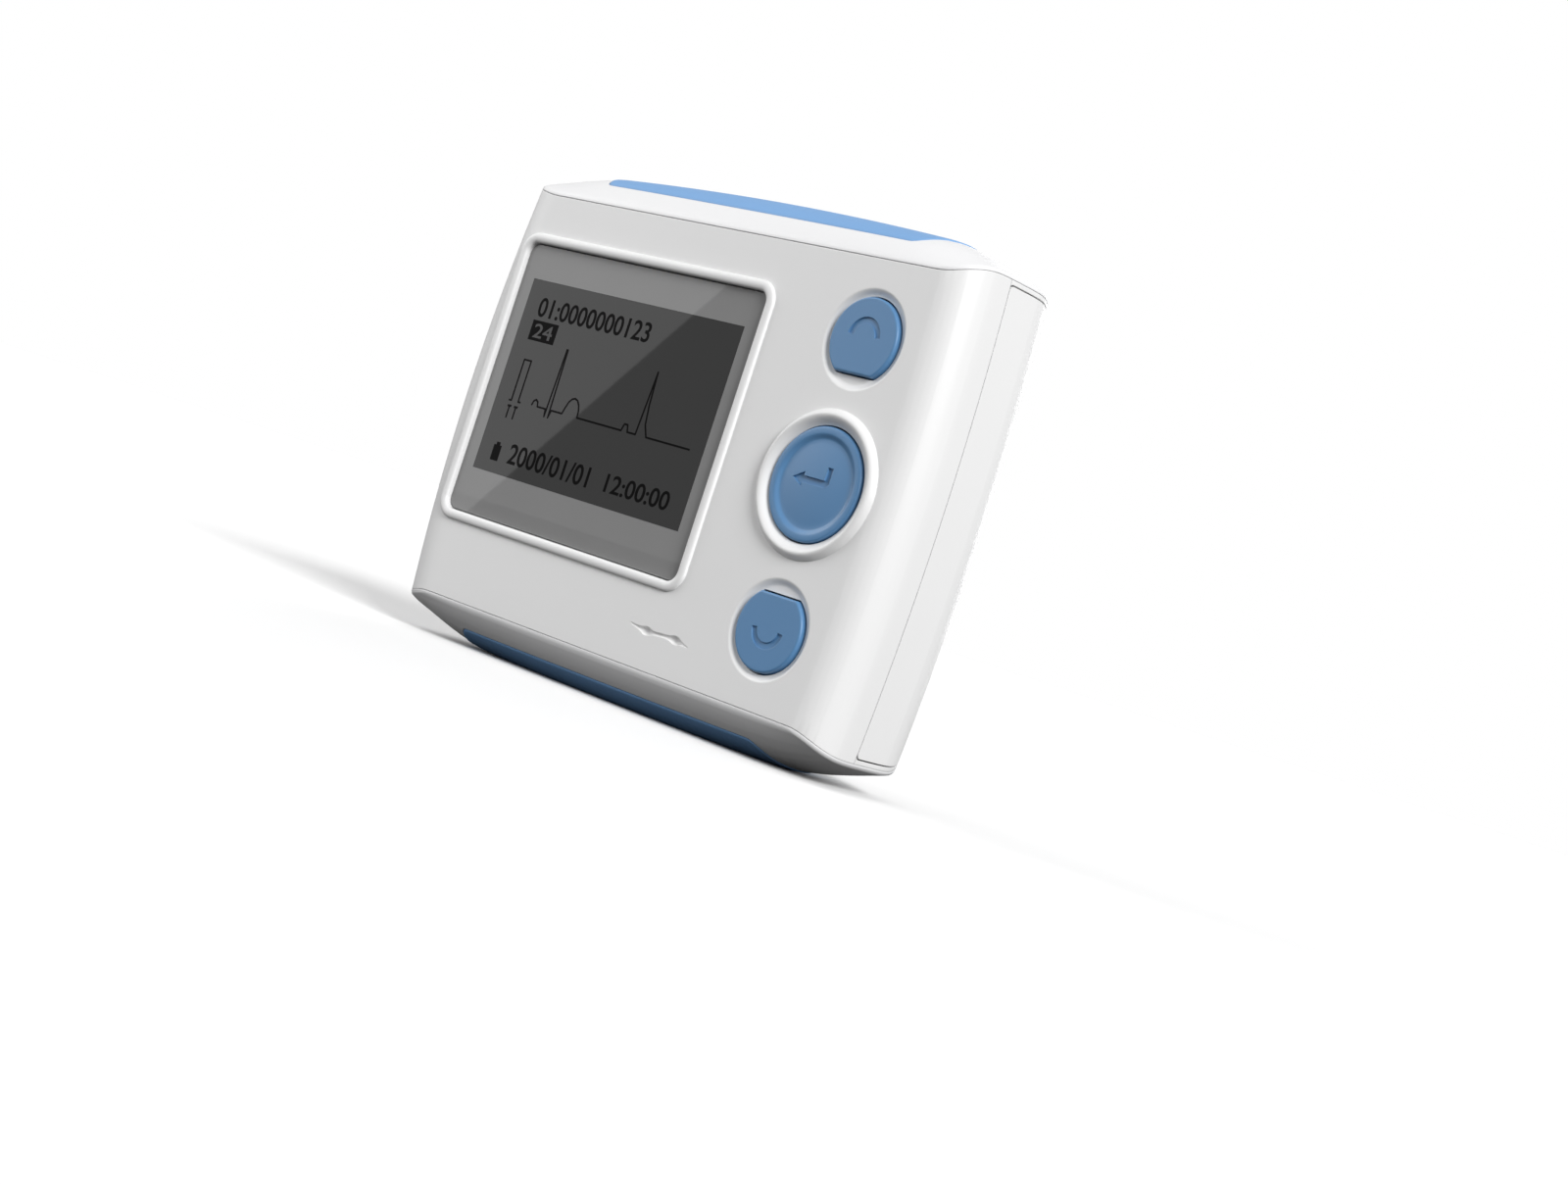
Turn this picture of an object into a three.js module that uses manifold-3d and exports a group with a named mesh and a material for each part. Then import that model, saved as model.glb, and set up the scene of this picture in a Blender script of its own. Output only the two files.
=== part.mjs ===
// A holter monitor: a worn heart recorder with a display, three keys, a battery door and a cable socket.
// Millimetres. X runs to the right as seen from the front, the front face looks along -Y, and Z is up.
// The origin is under the middle of the flat land that the recorder stands on.
import * as THREE from "three";
import { mergeVertices } from "three/addons/utils/BufferGeometryUtils.js";
import Module from "manifold-3d";

const wasm = await Module();
wasm.setup();

// Housing: the two shells and the outline that they share with the end caps
const rightBow = 1; // how far the right side swells at mid height
const leftBow = 1.7;
const leftLean = 1.5; // how far the left side leans in from the parting line to the face
const frontRightRadius = 5;
const frontLeftRadius = 1;
const backRightRadius = 6;
const backLeftRadius = 3.2;
const seamRise = 1.9; // how much taller the shells are at mid depth than on the face
const wall = 2;
const endWall = 1.3;
const bayEndRoom = 3.4; // from the battery bay to the end seam, on the face
const partingDepth = 7.6; // from the front face to the line where the shells meet
const seamGap = 0.3; // between two pieces that meet at a visible line
const fitGap = 0.3; // round a piece that seats in a pocket or hole

// End caps and the coloured trims set into them
const capEdge = 0.45; // upright edge of a cap, next to the seam
const capCrown = 3.6;
const capFall = 11; // length over which a cap falls to its seam at each end
const crownBowShare = 0.4; // how much lower the crown is at the ends of its bow, as a share
const capWall = 1.9;
const capPegRadius = 1;
const capPegX = 14;
const capPegDepth = 12.5;
const trimInset = 7.15; // from the end of a cap to the tip of its trim
const trimWidth = 14.5;
const trimPoint = 5.5; // length of a trim's tapering end
const trimTipWidth = 1.6;
const trimBowShare = 0.05; // how much narrower a trim is where its taper starts, as a share
const trimRecess = 1.1;
const trimProud = 0.25;
const trimLand = 0.85; // cut off the lower trim's crown, so that the recorder stands

// Display window, its raised rim, and what lies behind it
const windowWidth = 44.9;
const windowHeight = 36.6;
const windowRadius = 2;
const windowSideMargin = 4; // from the left side to the window
const windowRise = 2.35; // of the window's middle, over the face's middle
const windowSink = 0.3; // below the face
const windowThickness = 1.1;
const windowLedge = 1.6; // how far the ledge under the window's edge reaches in
const rimWidth = 1.3;
const rimHeight = 0.5;
const rimBevel = 0.3;
const gasketThickness = 0.4;
const gasketWidth = 1.5;
const lcdWidth = 43.5;
const lcdHeight = 35.5;
const lcdThickness = 0.9;
const backlightThickness = 1.1;
const flexWidth = 16;
const flexThickness = 0.2;
const flexDrop = 5;

// Keys
const keyWindowMargin = 9.95; // from the window to the enter key
const keySideMargin = 5.35; // from the enter key to the right side
const keyPitch = 17.7;
const enterRadius = 6.95;
const enterProud = 0.4;
const smallKeyRadius = 5.1;
const smallKeyProud = 0.2;
const smallKeyFlat = 4.2; // from a small key's centre to its flat side
const keyWall = 0.8;
const keyTopThickness = 1.5;
const keyFlangeWidth = 0.9;
const keyFlangeThickness = 0.6;
const keyEdge = 0.35; // rounding of a key's upper edge
const keyDish = 0.35;
const keyStemRadius = 1.2;
const grooveRadius = 5.3; // ring groove in the enter key
const grooveWidth = 0.9;
const bossWidth = 2.1; // raised ring round the enter key
const bossHeight = 0.8;
const bossShoulderShare = 0.8; // height of the ring's shoulders, as a share of its crest
const dishWidth = 1.1; // shallow dish round a small key
const dishDepth = 0.5;
const keyTravel = 0.6;
const glyphWidth = 0.6;
const glyphHeight = 0.2;
const glyphRadius = 2.6;
const glyphShare = 0.3; // of half a turn, to each side of an arc's middle
const enterGlyph = 3.4;

// Wave mark engraved under the window
const waveRise = 4.8; // over the lower end seam
const waveLength = 9.7;
const waveHeight = 0.45;
const waveWidth = 0.5;
const waveDepth = 0.3;

// Boards and the parts on them
const boardDepth = 4.5; // from the face to the main board
const boardThickness = 1;
const boardSideRoom = 4.55; // from the left side to the main board
const boardMargin = 1.4; // of the main board, beyond the key switches
const boardEndRoom = 0.7; // from a screw boss to the main board
const boardBayRoom = 0.25; // from the main board to the bay's floor
const seatGap = 0.1; // between a board or a contact and a part that sits on it
const sideBoardThickness = 0.8;
const sideBoardRoom = 0.45; // from the connector pocket to the signal board
const sideBoardWidth = 32.7;
const sideBoardHeight = 40;
const headerLength = 16;
const headerWidth = 3;
const headerInset = 6; // from the signal board's edge
const flexPlugWidth = 18;
const flexPlugHeight = 2.6;
const flexPlugThickness = 0.8;
const switchSize = 4.5;
const switchThickness = 1.3;
const plungerRadius = 1.1;
const plungerLength = 1;
const plungerFloor = 0.2; // of the switch, under its plunger
const chipThickness = 0.9;
const mainChipSize = 7;
const mainChipInset = 19.45; // from the bay
const mainChipZ = 8;
const memoryChipLength = 6;
const memoryChipWidth = 5;
const memoryChipInset = 19.45;
const memoryChipZ = -4;
const crystalLength = 5;
const crystalWidth = 2.4;
const crystalInset = 10.45;
const crystalZ = 8;
const coilSize = 5;
const coilThickness = 2.4;
const coilInset = 7.45;
const coilZ = -2;
const buzzerRadius = 4.5;
const buzzerThickness = 3;
const buzzerHoleRadius = 0.8;
const buzzerInset = 17.45;
const buzzerZ = -15;
const backupRadius = 3.4;
const backupThickness = 2.1;
const backupInset = 7.45;
const backupZ = -14;
const sideChipSize = 9;
const sideChipInset = 16.7; // from the signal board's left edge
const sideChipZ = 2;

// Connector pocket in the left side, with two sockets and four ribs
const pocketHeight = 33;
const pocketFront = 1.4; // from the face
const pocketBack = 13.6;
const pocketRadius = 1.7;
const pocketDepth = 2.4;
const pocketFloor = 1.2;
const pocketStep = 0.6; // the floor between the ribs slopes this much deeper, down to the lip
const pocketSlopeBack = 5.9;
const ribPitch = 7.37;
const ribShift = -0.8;
const ribThickness = 0.5;
const ribCount = 4;
const cableSlotLength = 16.6;
const cableSlotWidth = 2.6;
const cableSlotZ = -5.5;
const cableSlotNear = 8.5; // from the face to the slot's near edge
const usbSlotLength = 7.2;
const usbSlotWidth = 1.9;
const usbSlotZ = 10;
const usbSlotNear = 9.55;
const slotRadius = 0.5;
const socketWall = 0.4;
const socketLength = 7;
const socketHollow = 5.5;
const cableTongueThickness = 0.9;
const usbTongueThickness = 0.6;
const tongueEdge = 0.9; // between a tongue and each end of its socket
const tongueSink = 0.8; // from the socket's mouth to the tongue

// Label panel sunk in the back
const labelWidth = 35.5;
const labelHeight = 45.4;
const labelDoorGap = 8.95;
const labelDepth = 0.4;
const labelRadius = 1;

// Screws and the plugs over two of them
const screwSideInset = 5.45; // from the left side
const screwEndInset = 2.5; // from the end seam, on the face
const screwSink = 6; // from the back, or from the shelf under the door, to the underside of a head
const screwRadius = 0.9;
const screwEnd = 4; // from the face to a screw's tip
const screwHeadRadius = 1.6;
const screwHeadHeight = 1.5;
const crossWidth = 0.5;
const crossLength = 2;
const crossDepth = 0.7;
const frontBossRadius = 2.6;
const rearBossRadius = 3.1;
const pilotFloor = 3; // from the face to the bottom of a pilot hole
const plugRadius = 2;
const plugGap = 0.15;
const plugThickness = 1.3;

// Battery bay, its door and contacts, for one cell of 10.5 by 44.5 mm
const cellRadius = 5.25;
const cellLength = 44.5;
const cellNubRadius = 1.9;
const cellNubLength = 1;
const cellSideRoom = 1.8; // from the cell to the right side
const cellDoorRoom = 0.15;
const springRoom = 2.5; // from the lower contact to the cell
const cellEdge = 0.4;
const bayWall = 0.8;
const bayFloorThickness = 0.7;
const bayRoom = 0.5; // between the cell and the bay's floor or inner wall
const doorLap = 7.05; // from the bay to the door's left edge
const doorWall = 1.6;
const doorEdge = 1; // from the end seam to the door opening
const doorShelf = 1.6; // thickness of the shell under the door
const doorShelfGap = 0.4;
const railLeg = 0.8;
const railFoot = 0.9;
const railFootThickness = 1.1;
const railRoom = 0.4;
const railLeftInset = 1.1; // from the door's left edge
const railRightInset = 3.55; // from the right side
const ledgeThickness = 1.3;
const gripCount = 3;
const gripPitch = 3.5;
const gripLength = 30;
const gripWidth = 0.9;
const gripFlatShare = 0.9; // of a groove's length that keeps its full width
const gripSink = 0.35;
const gripInset = 9.6; // from the door's left edge to the middle groove
const contactThickness = 0.3;
const contactWidth = 8;
const contactBack = 13.9; // from the face to a contact plate's far edge
const springWire = 0.5;
const springBaseRadius = 3.2;
const springTipRadius = 2;
const springTurns = 2.5;

// How finely round shapes are divided
const roundSteps = 48;
const smallRoundSteps = 24;
const cornerSteps = 4;
const heightSteps = 8;
const capColumns = 16;
const trimColumns = 14;
const hollowRowShares = [-1, -0.7, -0.4, 0, 0.4, 0.7, 1];
const trimRowShares = [-1, -0.75, -0.5, -0.25, 0, 0.25, 0.5, 0.75, 1];
const springStepsPerTurn = 8;
const springSides = 5;
const waveSteps = 20;

// One overrun serves every cut
const overrun = 1;

// Places that follow from those sizes
const endWidth = windowSideMargin + windowWidth + keyWindowMargin + 2 * enterRadius + keySideMargin;
const bayHalfLength = (cellLength + springRoom) / 2 + contactThickness + 2 * seatGap;
const faceHeight = 2 * (bayHalfLength + bayEndRoom);
const cellDepth = boardDepth + boardThickness + boardBayRoom + bayFloorThickness + fitGap + cellRadius;
const bodyDepth = cellDepth + cellRadius + cellDoorRoom + doorWall;
const halfDepth = bodyDepth / 2;
const halfFace = faceHeight / 2;
const halfWidth = endWidth / 2;
const frontY = -halfDepth;
const farOut = endWidth; // beyond the housing on every side
const fullSeam = halfFace + seamRise;
const halfHeight = fullSeam + capEdge + capCrown + trimProud - trimLand;
const shellLimit = halfHeight;
const windowFloor = windowSink + windowThickness;
const lcdDepth = wall + gasketThickness;
const windowX = -halfWidth + windowSideMargin + windowWidth / 2;
const windowZ = windowRise;
const waveX = windowX + windowWidth / 2;
const waveZ = -halfFace + waveRise;
const keyX = halfWidth - keySideMargin - enterRadius;
const cellX = halfWidth - cellSideRoom - cellRadius;
const screwZ = halfFace - screwEndInset;
const boardBack = boardDepth + boardThickness;
const boardLeft = -halfWidth + boardSideRoom;
const boardRight = keyX + switchSize / 2 + boardMargin;
const boardHeight = 2 * (screwZ - frontBossRadius - boardEndRoom);
const usbSlotFar = usbSlotNear + usbSlotWidth;
const cableSlotFar = cableSlotNear + cableSlotWidth;
const socketNear = cableSlotNear - socketWall;
const socketFar = Math.max(usbSlotFar, cableSlotFar) + socketWall;
const sideBoardDepth = socketFar + seatGap;
const sideBoardBack = sideBoardDepth + sideBoardThickness;
const switchTop = boardDepth - seatGap - switchThickness;
const plungerTop = switchTop - keyTravel;
const keyFlangeDepth = wall + seamGap;
const keyBottom = keyFlangeDepth + keyFlangeThickness;
const pocketFloorX = -(halfWidth + leftBow) + pocketDepth;
const pocketInnerX = pocketFloorX + pocketFloor;
const pocketHalf = pocketHeight / 2;
const sideBoardLeft = pocketInnerX + sideBoardRoom;
const sideBoardRight = sideBoardLeft + sideBoardWidth;
const headerX = sideBoardRight - headerInset;
const sideChipX = sideBoardLeft + sideChipInset;
const socketMouthX = pocketInnerX + seatGap;
const socketEndX = socketMouthX + socketLength;
const bayInnerX = cellX - cellRadius - bayRoom;
const bayOuterX = bayInnerX - bayWall;
const doorLeft = bayOuterX - doorLap;
const trimLength = endWidth - 2 * trimInset;
const labelX = doorLeft - labelDoorGap - labelWidth / 2;
const gripX = doorLeft + gripInset;
const railLeft = doorLeft + railLeftInset;
const railRight = halfWidth - railRightInset;
const screwLeftX = -halfWidth + screwSideInset;
const screwRightX = doorLeft + screwHeadRadius + fitGap;
const mainChipX = bayOuterX - mainChipInset;
const memoryChipX = bayOuterX - memoryChipInset;
const crystalX = bayOuterX - crystalInset;
const coilX = bayOuterX - coilInset;
const buzzerX = bayOuterX - buzzerInset;
const backupX = bayOuterX - backupInset;
const bayFloorBack = cellDepth - cellRadius - fitGap;
const bayFloorFront = bayFloorBack - bayFloorThickness;
const shelfBack = bodyDepth - doorWall - doorShelfGap;
const shelfFront = shelfBack - doorShelf;
const doorInner = bodyDepth - doorWall;
const pegEnd = halfFace - overrun / 2;
const plateEnd = bayHalfLength - seatGap;
const plateFace = plateEnd - contactThickness;
const cellTop = plateFace - seatGap;
const cellBottom = cellTop - cellLength;
const railLegInner = bayHalfLength + seamGap;
const railLegOuter = railLegInner + railLeg;
const railFootOuter = railLegOuter + railFoot;
const ledgeFront = shelfBack - ledgeThickness;
const railFootBack = ledgeFront - railRoom;
const railFootFront = railFootBack - railFootThickness;
const crownZ = fullSeam + capEdge + capCrown;
const capSag = crownZ - halfFace - capEdge;
const capRadius = (halfDepth ** 2 + capSag ** 2) / (2 * capSag);
const bayRight = halfWidth - wall - fitGap;

// Basic solids. Depths are measured back from the front face.

function solidOf(geometry) {
  const bare = geometry.index ? geometry.toNonIndexed() : geometry.clone();
  const points = new THREE.BufferGeometry().setAttribute("position", bare.getAttribute("position"));
  const merged = mergeVertices(points);
  const mesh = new wasm.Mesh({
    numProp: 3,
    vertProperties: merged.attributes.position.array,
    triVerts: new Uint32Array(merged.index.array),
  });
  return new wasm.Manifold(mesh);
}

function geometryOf(solid) {
  const mesh = solid.getMesh();
  const geometry = new THREE.BufferGeometry();
  geometry.setAttribute("position", new THREE.BufferAttribute(mesh.vertProperties, mesh.numProp));
  geometry.setIndex(new THREE.BufferAttribute(mesh.triVerts, 1));
  const flat = geometry.toNonIndexed();
  flat.computeVertexNormals();
  return flat;
}

function join(solids) {
  return solids.reduce((whole, piece) => whole.add(piece));
}

function cut(solid, tools) {
  return tools.reduce((rest, tool) => rest.subtract(tool), solid);
}

function block([left, right], [near, far], [low, high]) {
  const geometry = new THREE.BoxGeometry(right - left, far - near, high - low);
  geometry.translate((left + right) / 2, frontY + (near + far) / 2, (low + high) / 2);
  return solidOf(geometry);
}

function around(middle, size) {
  return [middle - size / 2, middle + size / 2];
}

function rod(x, z, radius, [near, far], steps = smallRoundSteps) {
  const geometry = new THREE.CylinderGeometry(radius, radius, far - near, steps);
  geometry.translate(x, frontY + (near + far) / 2, z);
  return solidOf(geometry);
}

// A turned solid about a line along Y. The profile's points are [radius, depth], from the back to the front.
function turned(x, z, profile, steps = roundSteps) {
  const points = profile.map(([radius, depth]) => new THREE.Vector2(radius, -depth));
  const geometry = new THREE.LatheGeometry(points, steps);
  geometry.rotateX(Math.PI);
  geometry.translate(x, frontY, z);
  return solidOf(geometry);
}

function roundedRectangle(width, height, radius, x = 0, z = 0) {
  const right = width / 2 - radius;
  const top = height / 2 - radius;
  const shape = new THREE.Shape();
  shape.absarc(x + right, z + top, radius, 0, Math.PI / 2);
  shape.absarc(x - right, z + top, radius, Math.PI / 2, Math.PI);
  shape.absarc(x - right, z - top, radius, Math.PI, 1.5 * Math.PI);
  shape.absarc(x + right, z - top, radius, 1.5 * Math.PI, 2 * Math.PI);
  shape.closePath();
  return shape;
}

// A shape drawn in X and Z, made solid between two depths
function plate(shape, [near, far], bevel = 0) {
  const geometry = new THREE.ExtrudeGeometry(shape, {
    depth: far - near - 2 * bevel,
    curveSegments: cornerSteps,
    bevelEnabled: bevel > 0,
    bevelThickness: bevel,
    bevelSize: bevel,
    bevelOffset: -bevel,
    bevelSegments: 2,
  });
  const turn = new THREE.Matrix4().makeBasis(
    new THREE.Vector3(1, 0, 0),
    new THREE.Vector3(0, 0, 1),
    new THREE.Vector3(0, -1, 0),
  );
  geometry.applyMatrix4(turn);
  geometry.translate(0, frontY + far - bevel, 0);
  return solidOf(geometry);
}

// A shape drawn in Y and Z, made solid between two places on X
function bar(shape, [left, right]) {
  const geometry = new THREE.ExtrudeGeometry(shape, {
    depth: right - left,
    curveSegments: cornerSteps,
    bevelEnabled: false,
  });
  const turn = new THREE.Matrix4().makeBasis(
    new THREE.Vector3(0, 1, 0),
    new THREE.Vector3(0, 0, 1),
    new THREE.Vector3(1, 0, 0),
  );
  geometry.applyMatrix4(turn);
  geometry.translate(left, 0, 0);
  return solidOf(geometry);
}

// A closed solid from two grids of points, one above the other: rows run along Y and columns along X
function gridSolid(rows, columns, pointAt) {
  const corners = [];
  const count = rows.length * (columns + 1);
  for (const top of [false, true]) {
    for (const y of rows) {
      for (let column = 0; column <= columns; column += 1) {
        const across = Math.sin((Math.PI / 2) * ((2 * column) / columns - 1));
        corners.push(...pointAt(across, y, top));
      }
    }
  }
  const faces = [];
  const at = (row, column) => row * (columns + 1) + column;
  const quad = (a, b, c, d) => faces.push(a, b, c, a, c, d);
  const lastRow = rows.length - 1;
  for (let row = 0; row < lastRow; row += 1) {
    for (let column = 0; column < columns; column += 1) {
      const ring = [at(row, column), at(row, column + 1), at(row + 1, column + 1), at(row + 1, column)];
      quad(ring[3], ring[2], ring[1], ring[0]);
      quad(...ring.map((corner) => corner + count));
    }
    quad(at(row, 0), at(row, 0) + count, at(row + 1, 0) + count, at(row + 1, 0));
    quad(at(row + 1, columns), at(row + 1, columns) + count, at(row, columns) + count, at(row, columns));
  }
  for (let column = 0; column < columns; column += 1) {
    quad(at(0, column), at(0, column + 1), at(0, column + 1) + count, at(0, column) + count);
    const [near, far] = [at(lastRow, column), at(lastRow, column + 1)];
    quad(far, near, near + count, far + count);
  }
  const geometry = new THREE.BufferGeometry();
  geometry.setAttribute("position", new THREE.Float32BufferAttribute(corners, 3));
  geometry.setIndex(faces);
  return solidOf(geometry);
}

// The housing's outline

function bow(z) {
  return 1 - (z / halfFace) ** 2;
}

// How far a rounded corner stands in from its side, at a distance from the corner's end
function cornerInset(distance, radius) {
  const left = radius - Math.max(distance, 0);
  return left > 0 ? radius - Math.sqrt(radius ** 2 - left ** 2) : 0;
}

function rightSide(y, z, inset) {
  const front = cornerInset(y + halfDepth - inset, frontRightRadius - inset);
  const back = cornerInset(halfDepth - y - inset, backRightRadius - inset);
  return halfWidth + rightBow * bow(z) - inset - front - back;
}

function leftSide(y, z, inset) {
  const lean = leftLean * Math.max(0, 1 - (y + halfDepth) / partingDepth);
  const front = cornerInset(y + halfDepth - inset, Math.max(frontLeftRadius - inset, fitGap));
  const back = cornerInset(halfDepth - y - inset, backLeftRadius - inset);
  return -(halfWidth + leftBow * bow(z) - inset - lean - front - back);
}

function seamHeight(y) {
  const share = Math.min(1, Math.abs(y) / halfDepth);
  return halfFace + seamRise * (1 - share ** 4);
}

function cornerStations(radius) {
  const steps = Array.from({ length: cornerSteps + 1 }, (_, step) => step / cornerSteps);
  return steps.map((share) => radius * (1 - Math.cos((share * Math.PI) / 2)));
}

// Places along Y where the outline is drawn, closer together in its round corners
function outlineRows(inset) {
  const near = [frontLeftRadius, frontRightRadius].flatMap((radius) => cornerStations(radius - inset / 2));
  const far = [backLeftRadius, backRightRadius].flatMap((radius) => cornerStations(radius - inset / 2));
  const front = near.map((distance) => -halfDepth + inset + distance);
  const back = far.map((distance) => halfDepth - inset - distance);
  const rows = [...front, frontY + partingDepth, ...back].sort((a, b) => a - b);
  return rows.filter((y, index) => index === 0 || y - rows[index - 1] > seamGap / 2);
}

// The housing's solid, drawn in by an inset on its sides and a gap at its end seams
function envelope(inset, endInset) {
  const rows = outlineRows(inset);
  const corners = [];
  for (let level = 0; level <= heightSteps; level += 1) {
    const z = shellLimit * ((2 * level) / heightSteps - 1);
    rows.forEach((y) => corners.push(rightSide(y, z, inset), y, z));
    [...rows].reverse().forEach((y) => corners.push(leftSide(y, z, inset), y, z));
  }
  const faces = [];
  const ring = 2 * rows.length;
  const quad = (a, b, c, d) => faces.push(a, b, c, a, c, d);
  for (let level = 0; level < heightSteps; level += 1) {
    for (let index = 0; index < ring; index += 1) {
      const next = (index + 1) % ring;
      const base = level * ring;
      quad(base + index, base + next, base + ring + next, base + ring + index);
    }
  }
  const top = heightSteps * ring;
  for (let index = 0; index < rows.length - 1; index += 1) {
    const mirror = ring - 1 - index;
    quad(mirror, mirror - 1, index + 1, index);
    quad(top + index, top + index + 1, top + mirror - 1, top + mirror);
  }
  const geometry = new THREE.BufferGeometry();
  geometry.setAttribute("position", new THREE.Float32BufferAttribute(corners, 3));
  geometry.setIndex(faces);
  return solidOf(geometry).intersect(seamBar(endInset));
}

// Everything between the two end seams, drawn in by a gap
function seamBar(endInset, [left, right] = [-farOut, farOut]) {
  const rows = [-halfDepth - overrun, ...outlineRows(0), halfDepth + overrun];
  const shape = new THREE.Shape();
  rows.forEach((y) => shape.lineTo(y, -(seamHeight(y) - endInset)));
  [...rows].reverse().forEach((y) => shape.lineTo(y, seamHeight(y) - endInset));
  shape.curves.shift();
  shape.closePath();
  return bar(shape, [left, right]);
}

const everywhere = [-farOut, farOut];
const outerBody = envelope(0, seamGap / 2);
const innerRoom = envelope(wall, endWall);

// Openings in the face

function waveShape() {
  const upper = [];
  const lower = [];
  for (let step = 0; step <= waveSteps; step += 1) {
    const share = step / waveSteps;
    const x = waveX + waveLength * (share - 1 / 2);
    const z = waveZ + waveHeight * Math.sin(2 * Math.PI * share);
    const half = (waveWidth / 2) * Math.sin(Math.PI * share);
    upper.push(new THREE.Vector2(x, z + half));
    lower.unshift(new THREE.Vector2(x, z - half));
  }
  return new THREE.Shape([...upper, ...lower.slice(1, -1)].reverse());
}

function smallKeyShape(radius, flat, z, towards) {
  const half = Math.acos(flat / radius);
  const shape = new THREE.Shape();
  const middle = (towards * Math.PI) / 2;
  const steps = roundSteps - smallRoundSteps / 2;
  for (let step = 0; step <= steps; step += 1) {
    const angle = middle + half + ((2 * Math.PI - 2 * half) * step) / steps;
    shape.lineTo(keyX + radius * Math.cos(angle), z + radius * Math.sin(angle));
  }
  shape.curves.shift();
  shape.closePath();
  return shape;
}

function windowFrame() {
  const outer = roundedRectangle(
    windowWidth + 2 * (fitGap + rimWidth),
    windowHeight + 2 * (fitGap + rimWidth),
    windowRadius + rimWidth,
    windowX,
    windowZ,
  );
  return plate(outer, [-rimHeight, wall / 2], rimBevel);
}

function windowOpening() {
  const recess = roundedRectangle(
    windowWidth + 2 * fitGap,
    windowHeight + 2 * fitGap,
    windowRadius + fitGap,
    windowX,
    windowZ,
  );
  const hole = roundedRectangle(
    windowWidth - 2 * windowLedge,
    windowHeight - 2 * windowLedge,
    windowRadius,
    windowX,
    windowZ,
  );
  return join([plate(recess, [-overrun, windowFloor]), plate(hole, [0, wall + overrun])]);
}

function enterBoss() {
  const inner = enterRadius + fitGap;
  const crest = inner + bossWidth / 2;
  const shoulder = -bossShoulderShare * bossHeight;
  return turned(keyX, 0, [
    [inner, wall / 2],
    [inner + bossWidth, wall / 2],
    [inner + bossWidth, 0],
    [crest + bossWidth / 4, shoulder],
    [crest, -bossHeight],
    [crest - bossWidth / 4, shoulder],
    [inner, 0],
    [inner, wall / 2],
  ]);
}

function smallKeyDish(z) {
  const inner = smallKeyRadius + fitGap;
  return turned(keyX, z, [
    [0, dishDepth],
    [inner, dishDepth],
    [inner + dishWidth, 0],
    [inner + dishWidth, -overrun],
    [0, -overrun],
  ]);
}

// End caps and their trims

function capSurface(x, y) {
  const base = seamHeight(y) + capEdge;
  const side = x < 0 ? x - leftSide(y, base, 0) : rightSide(y, base, 0) - x;
  const share = Math.min(1, Math.max(0, side / capFall));
  const swell = (1 - (1 - share) ** 2) * (1 - crownBowShare * (x / halfWidth) ** 2);
  const arc = crownZ - capRadius + Math.sqrt(capRadius ** 2 - Math.min(Math.abs(y), halfDepth) ** 2);
  return base + swell * Math.max(0, arc - base);
}

// A layer between two surfaces, for the upper end when towards is 1 and for the lower end when it is -1
function layer(towards, rows, columns, planAt, innerAt, outerAt) {
  return gridSolid(rows, columns, (across, row, top) => {
    const [x, y] = planAt(across, row);
    const height = top === towards > 0 ? outerAt(x, y) : innerAt(x, y);
    return [x, y, towards * height];
  });
}

function trimPlan(grow) {
  const halfLength = trimLength / 2;
  return (across, row) => {
    const x = across * halfLength;
    const taper = Math.max(0, 1 - (halfLength - Math.abs(x)) / trimPoint);
    const bowed = 1 - trimBowShare * across ** 2;
    const half = trimTipWidth / 2 + ((trimWidth - trimTipWidth) / 2) * bowed * (1 - taper ** 2);
    return [x + grow * across, row * (half + grow)];
  };
}

function makeCap(towards) {
  const capPlan = (across, y) => {
    const left = leftSide(y, seamHeight(y), 0);
    const right = rightSide(y, seamHeight(y), 0);
    return [(left + right) / 2 + (across * (right - left)) / 2, y];
  };
  const seamFace = (x, y) => seamHeight(y) + seamGap / 2;
  const whole = layer(towards, outlineRows(0), capColumns, capPlan, seamFace, capSurface);
  const hollowX = halfWidth - 2 * capWall - capEdge;
  const hollowY = halfDepth - capWall - capEdge;
  const hollow = layer(
    towards,
    hollowRowShares.map((share) => share * hollowY),
    trimColumns,
    (across, y) => [across * hollowX, y],
    () => halfFace - overrun,
    (x, y) => Math.max(capSurface(x, y) - capWall, halfFace - overrun / 2),
  );
  const recess = layer(
    towards,
    trimRowShares,
    trimColumns,
    trimPlan(seamGap / 2),
    (x, y) => capSurface(x, y) - trimRecess,
    (x, y) => capSurface(x, y) + overrun,
  );
  const pegTop = crownZ - capWall;
  const pegs = [-capPegX, capPegX].map((x) => post(x, capPegDepth, capPegRadius, towards, [pegEnd, pegTop]));
  return join([cut(whole, [hollow, recess]), ...pegs]);
}

function makeTrim(towards) {
  const trim = layer(
    towards,
    trimRowShares,
    trimColumns,
    trimPlan(0),
    (x, y) => capSurface(x, y) - trimRecess + seamGap / 2,
    (x, y) => capSurface(x, y) + trimProud,
  );
  const underLand = block(everywhere, everywhere, [-farOut, -halfHeight]);
  return towards < 0 ? trim.subtract(underLand) : trim;
}

// A round post that stands along Z at one end of the housing
function post(x, depth, radius, towards, [low, high]) {
  const geometry = new THREE.CylinderGeometry(radius, radius, high - low, smallRoundSteps);
  geometry.rotateX(Math.PI / 2);
  geometry.translate(x, frontY + depth, (towards * (low + high)) / 2);
  return solidOf(geometry);
}

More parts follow.
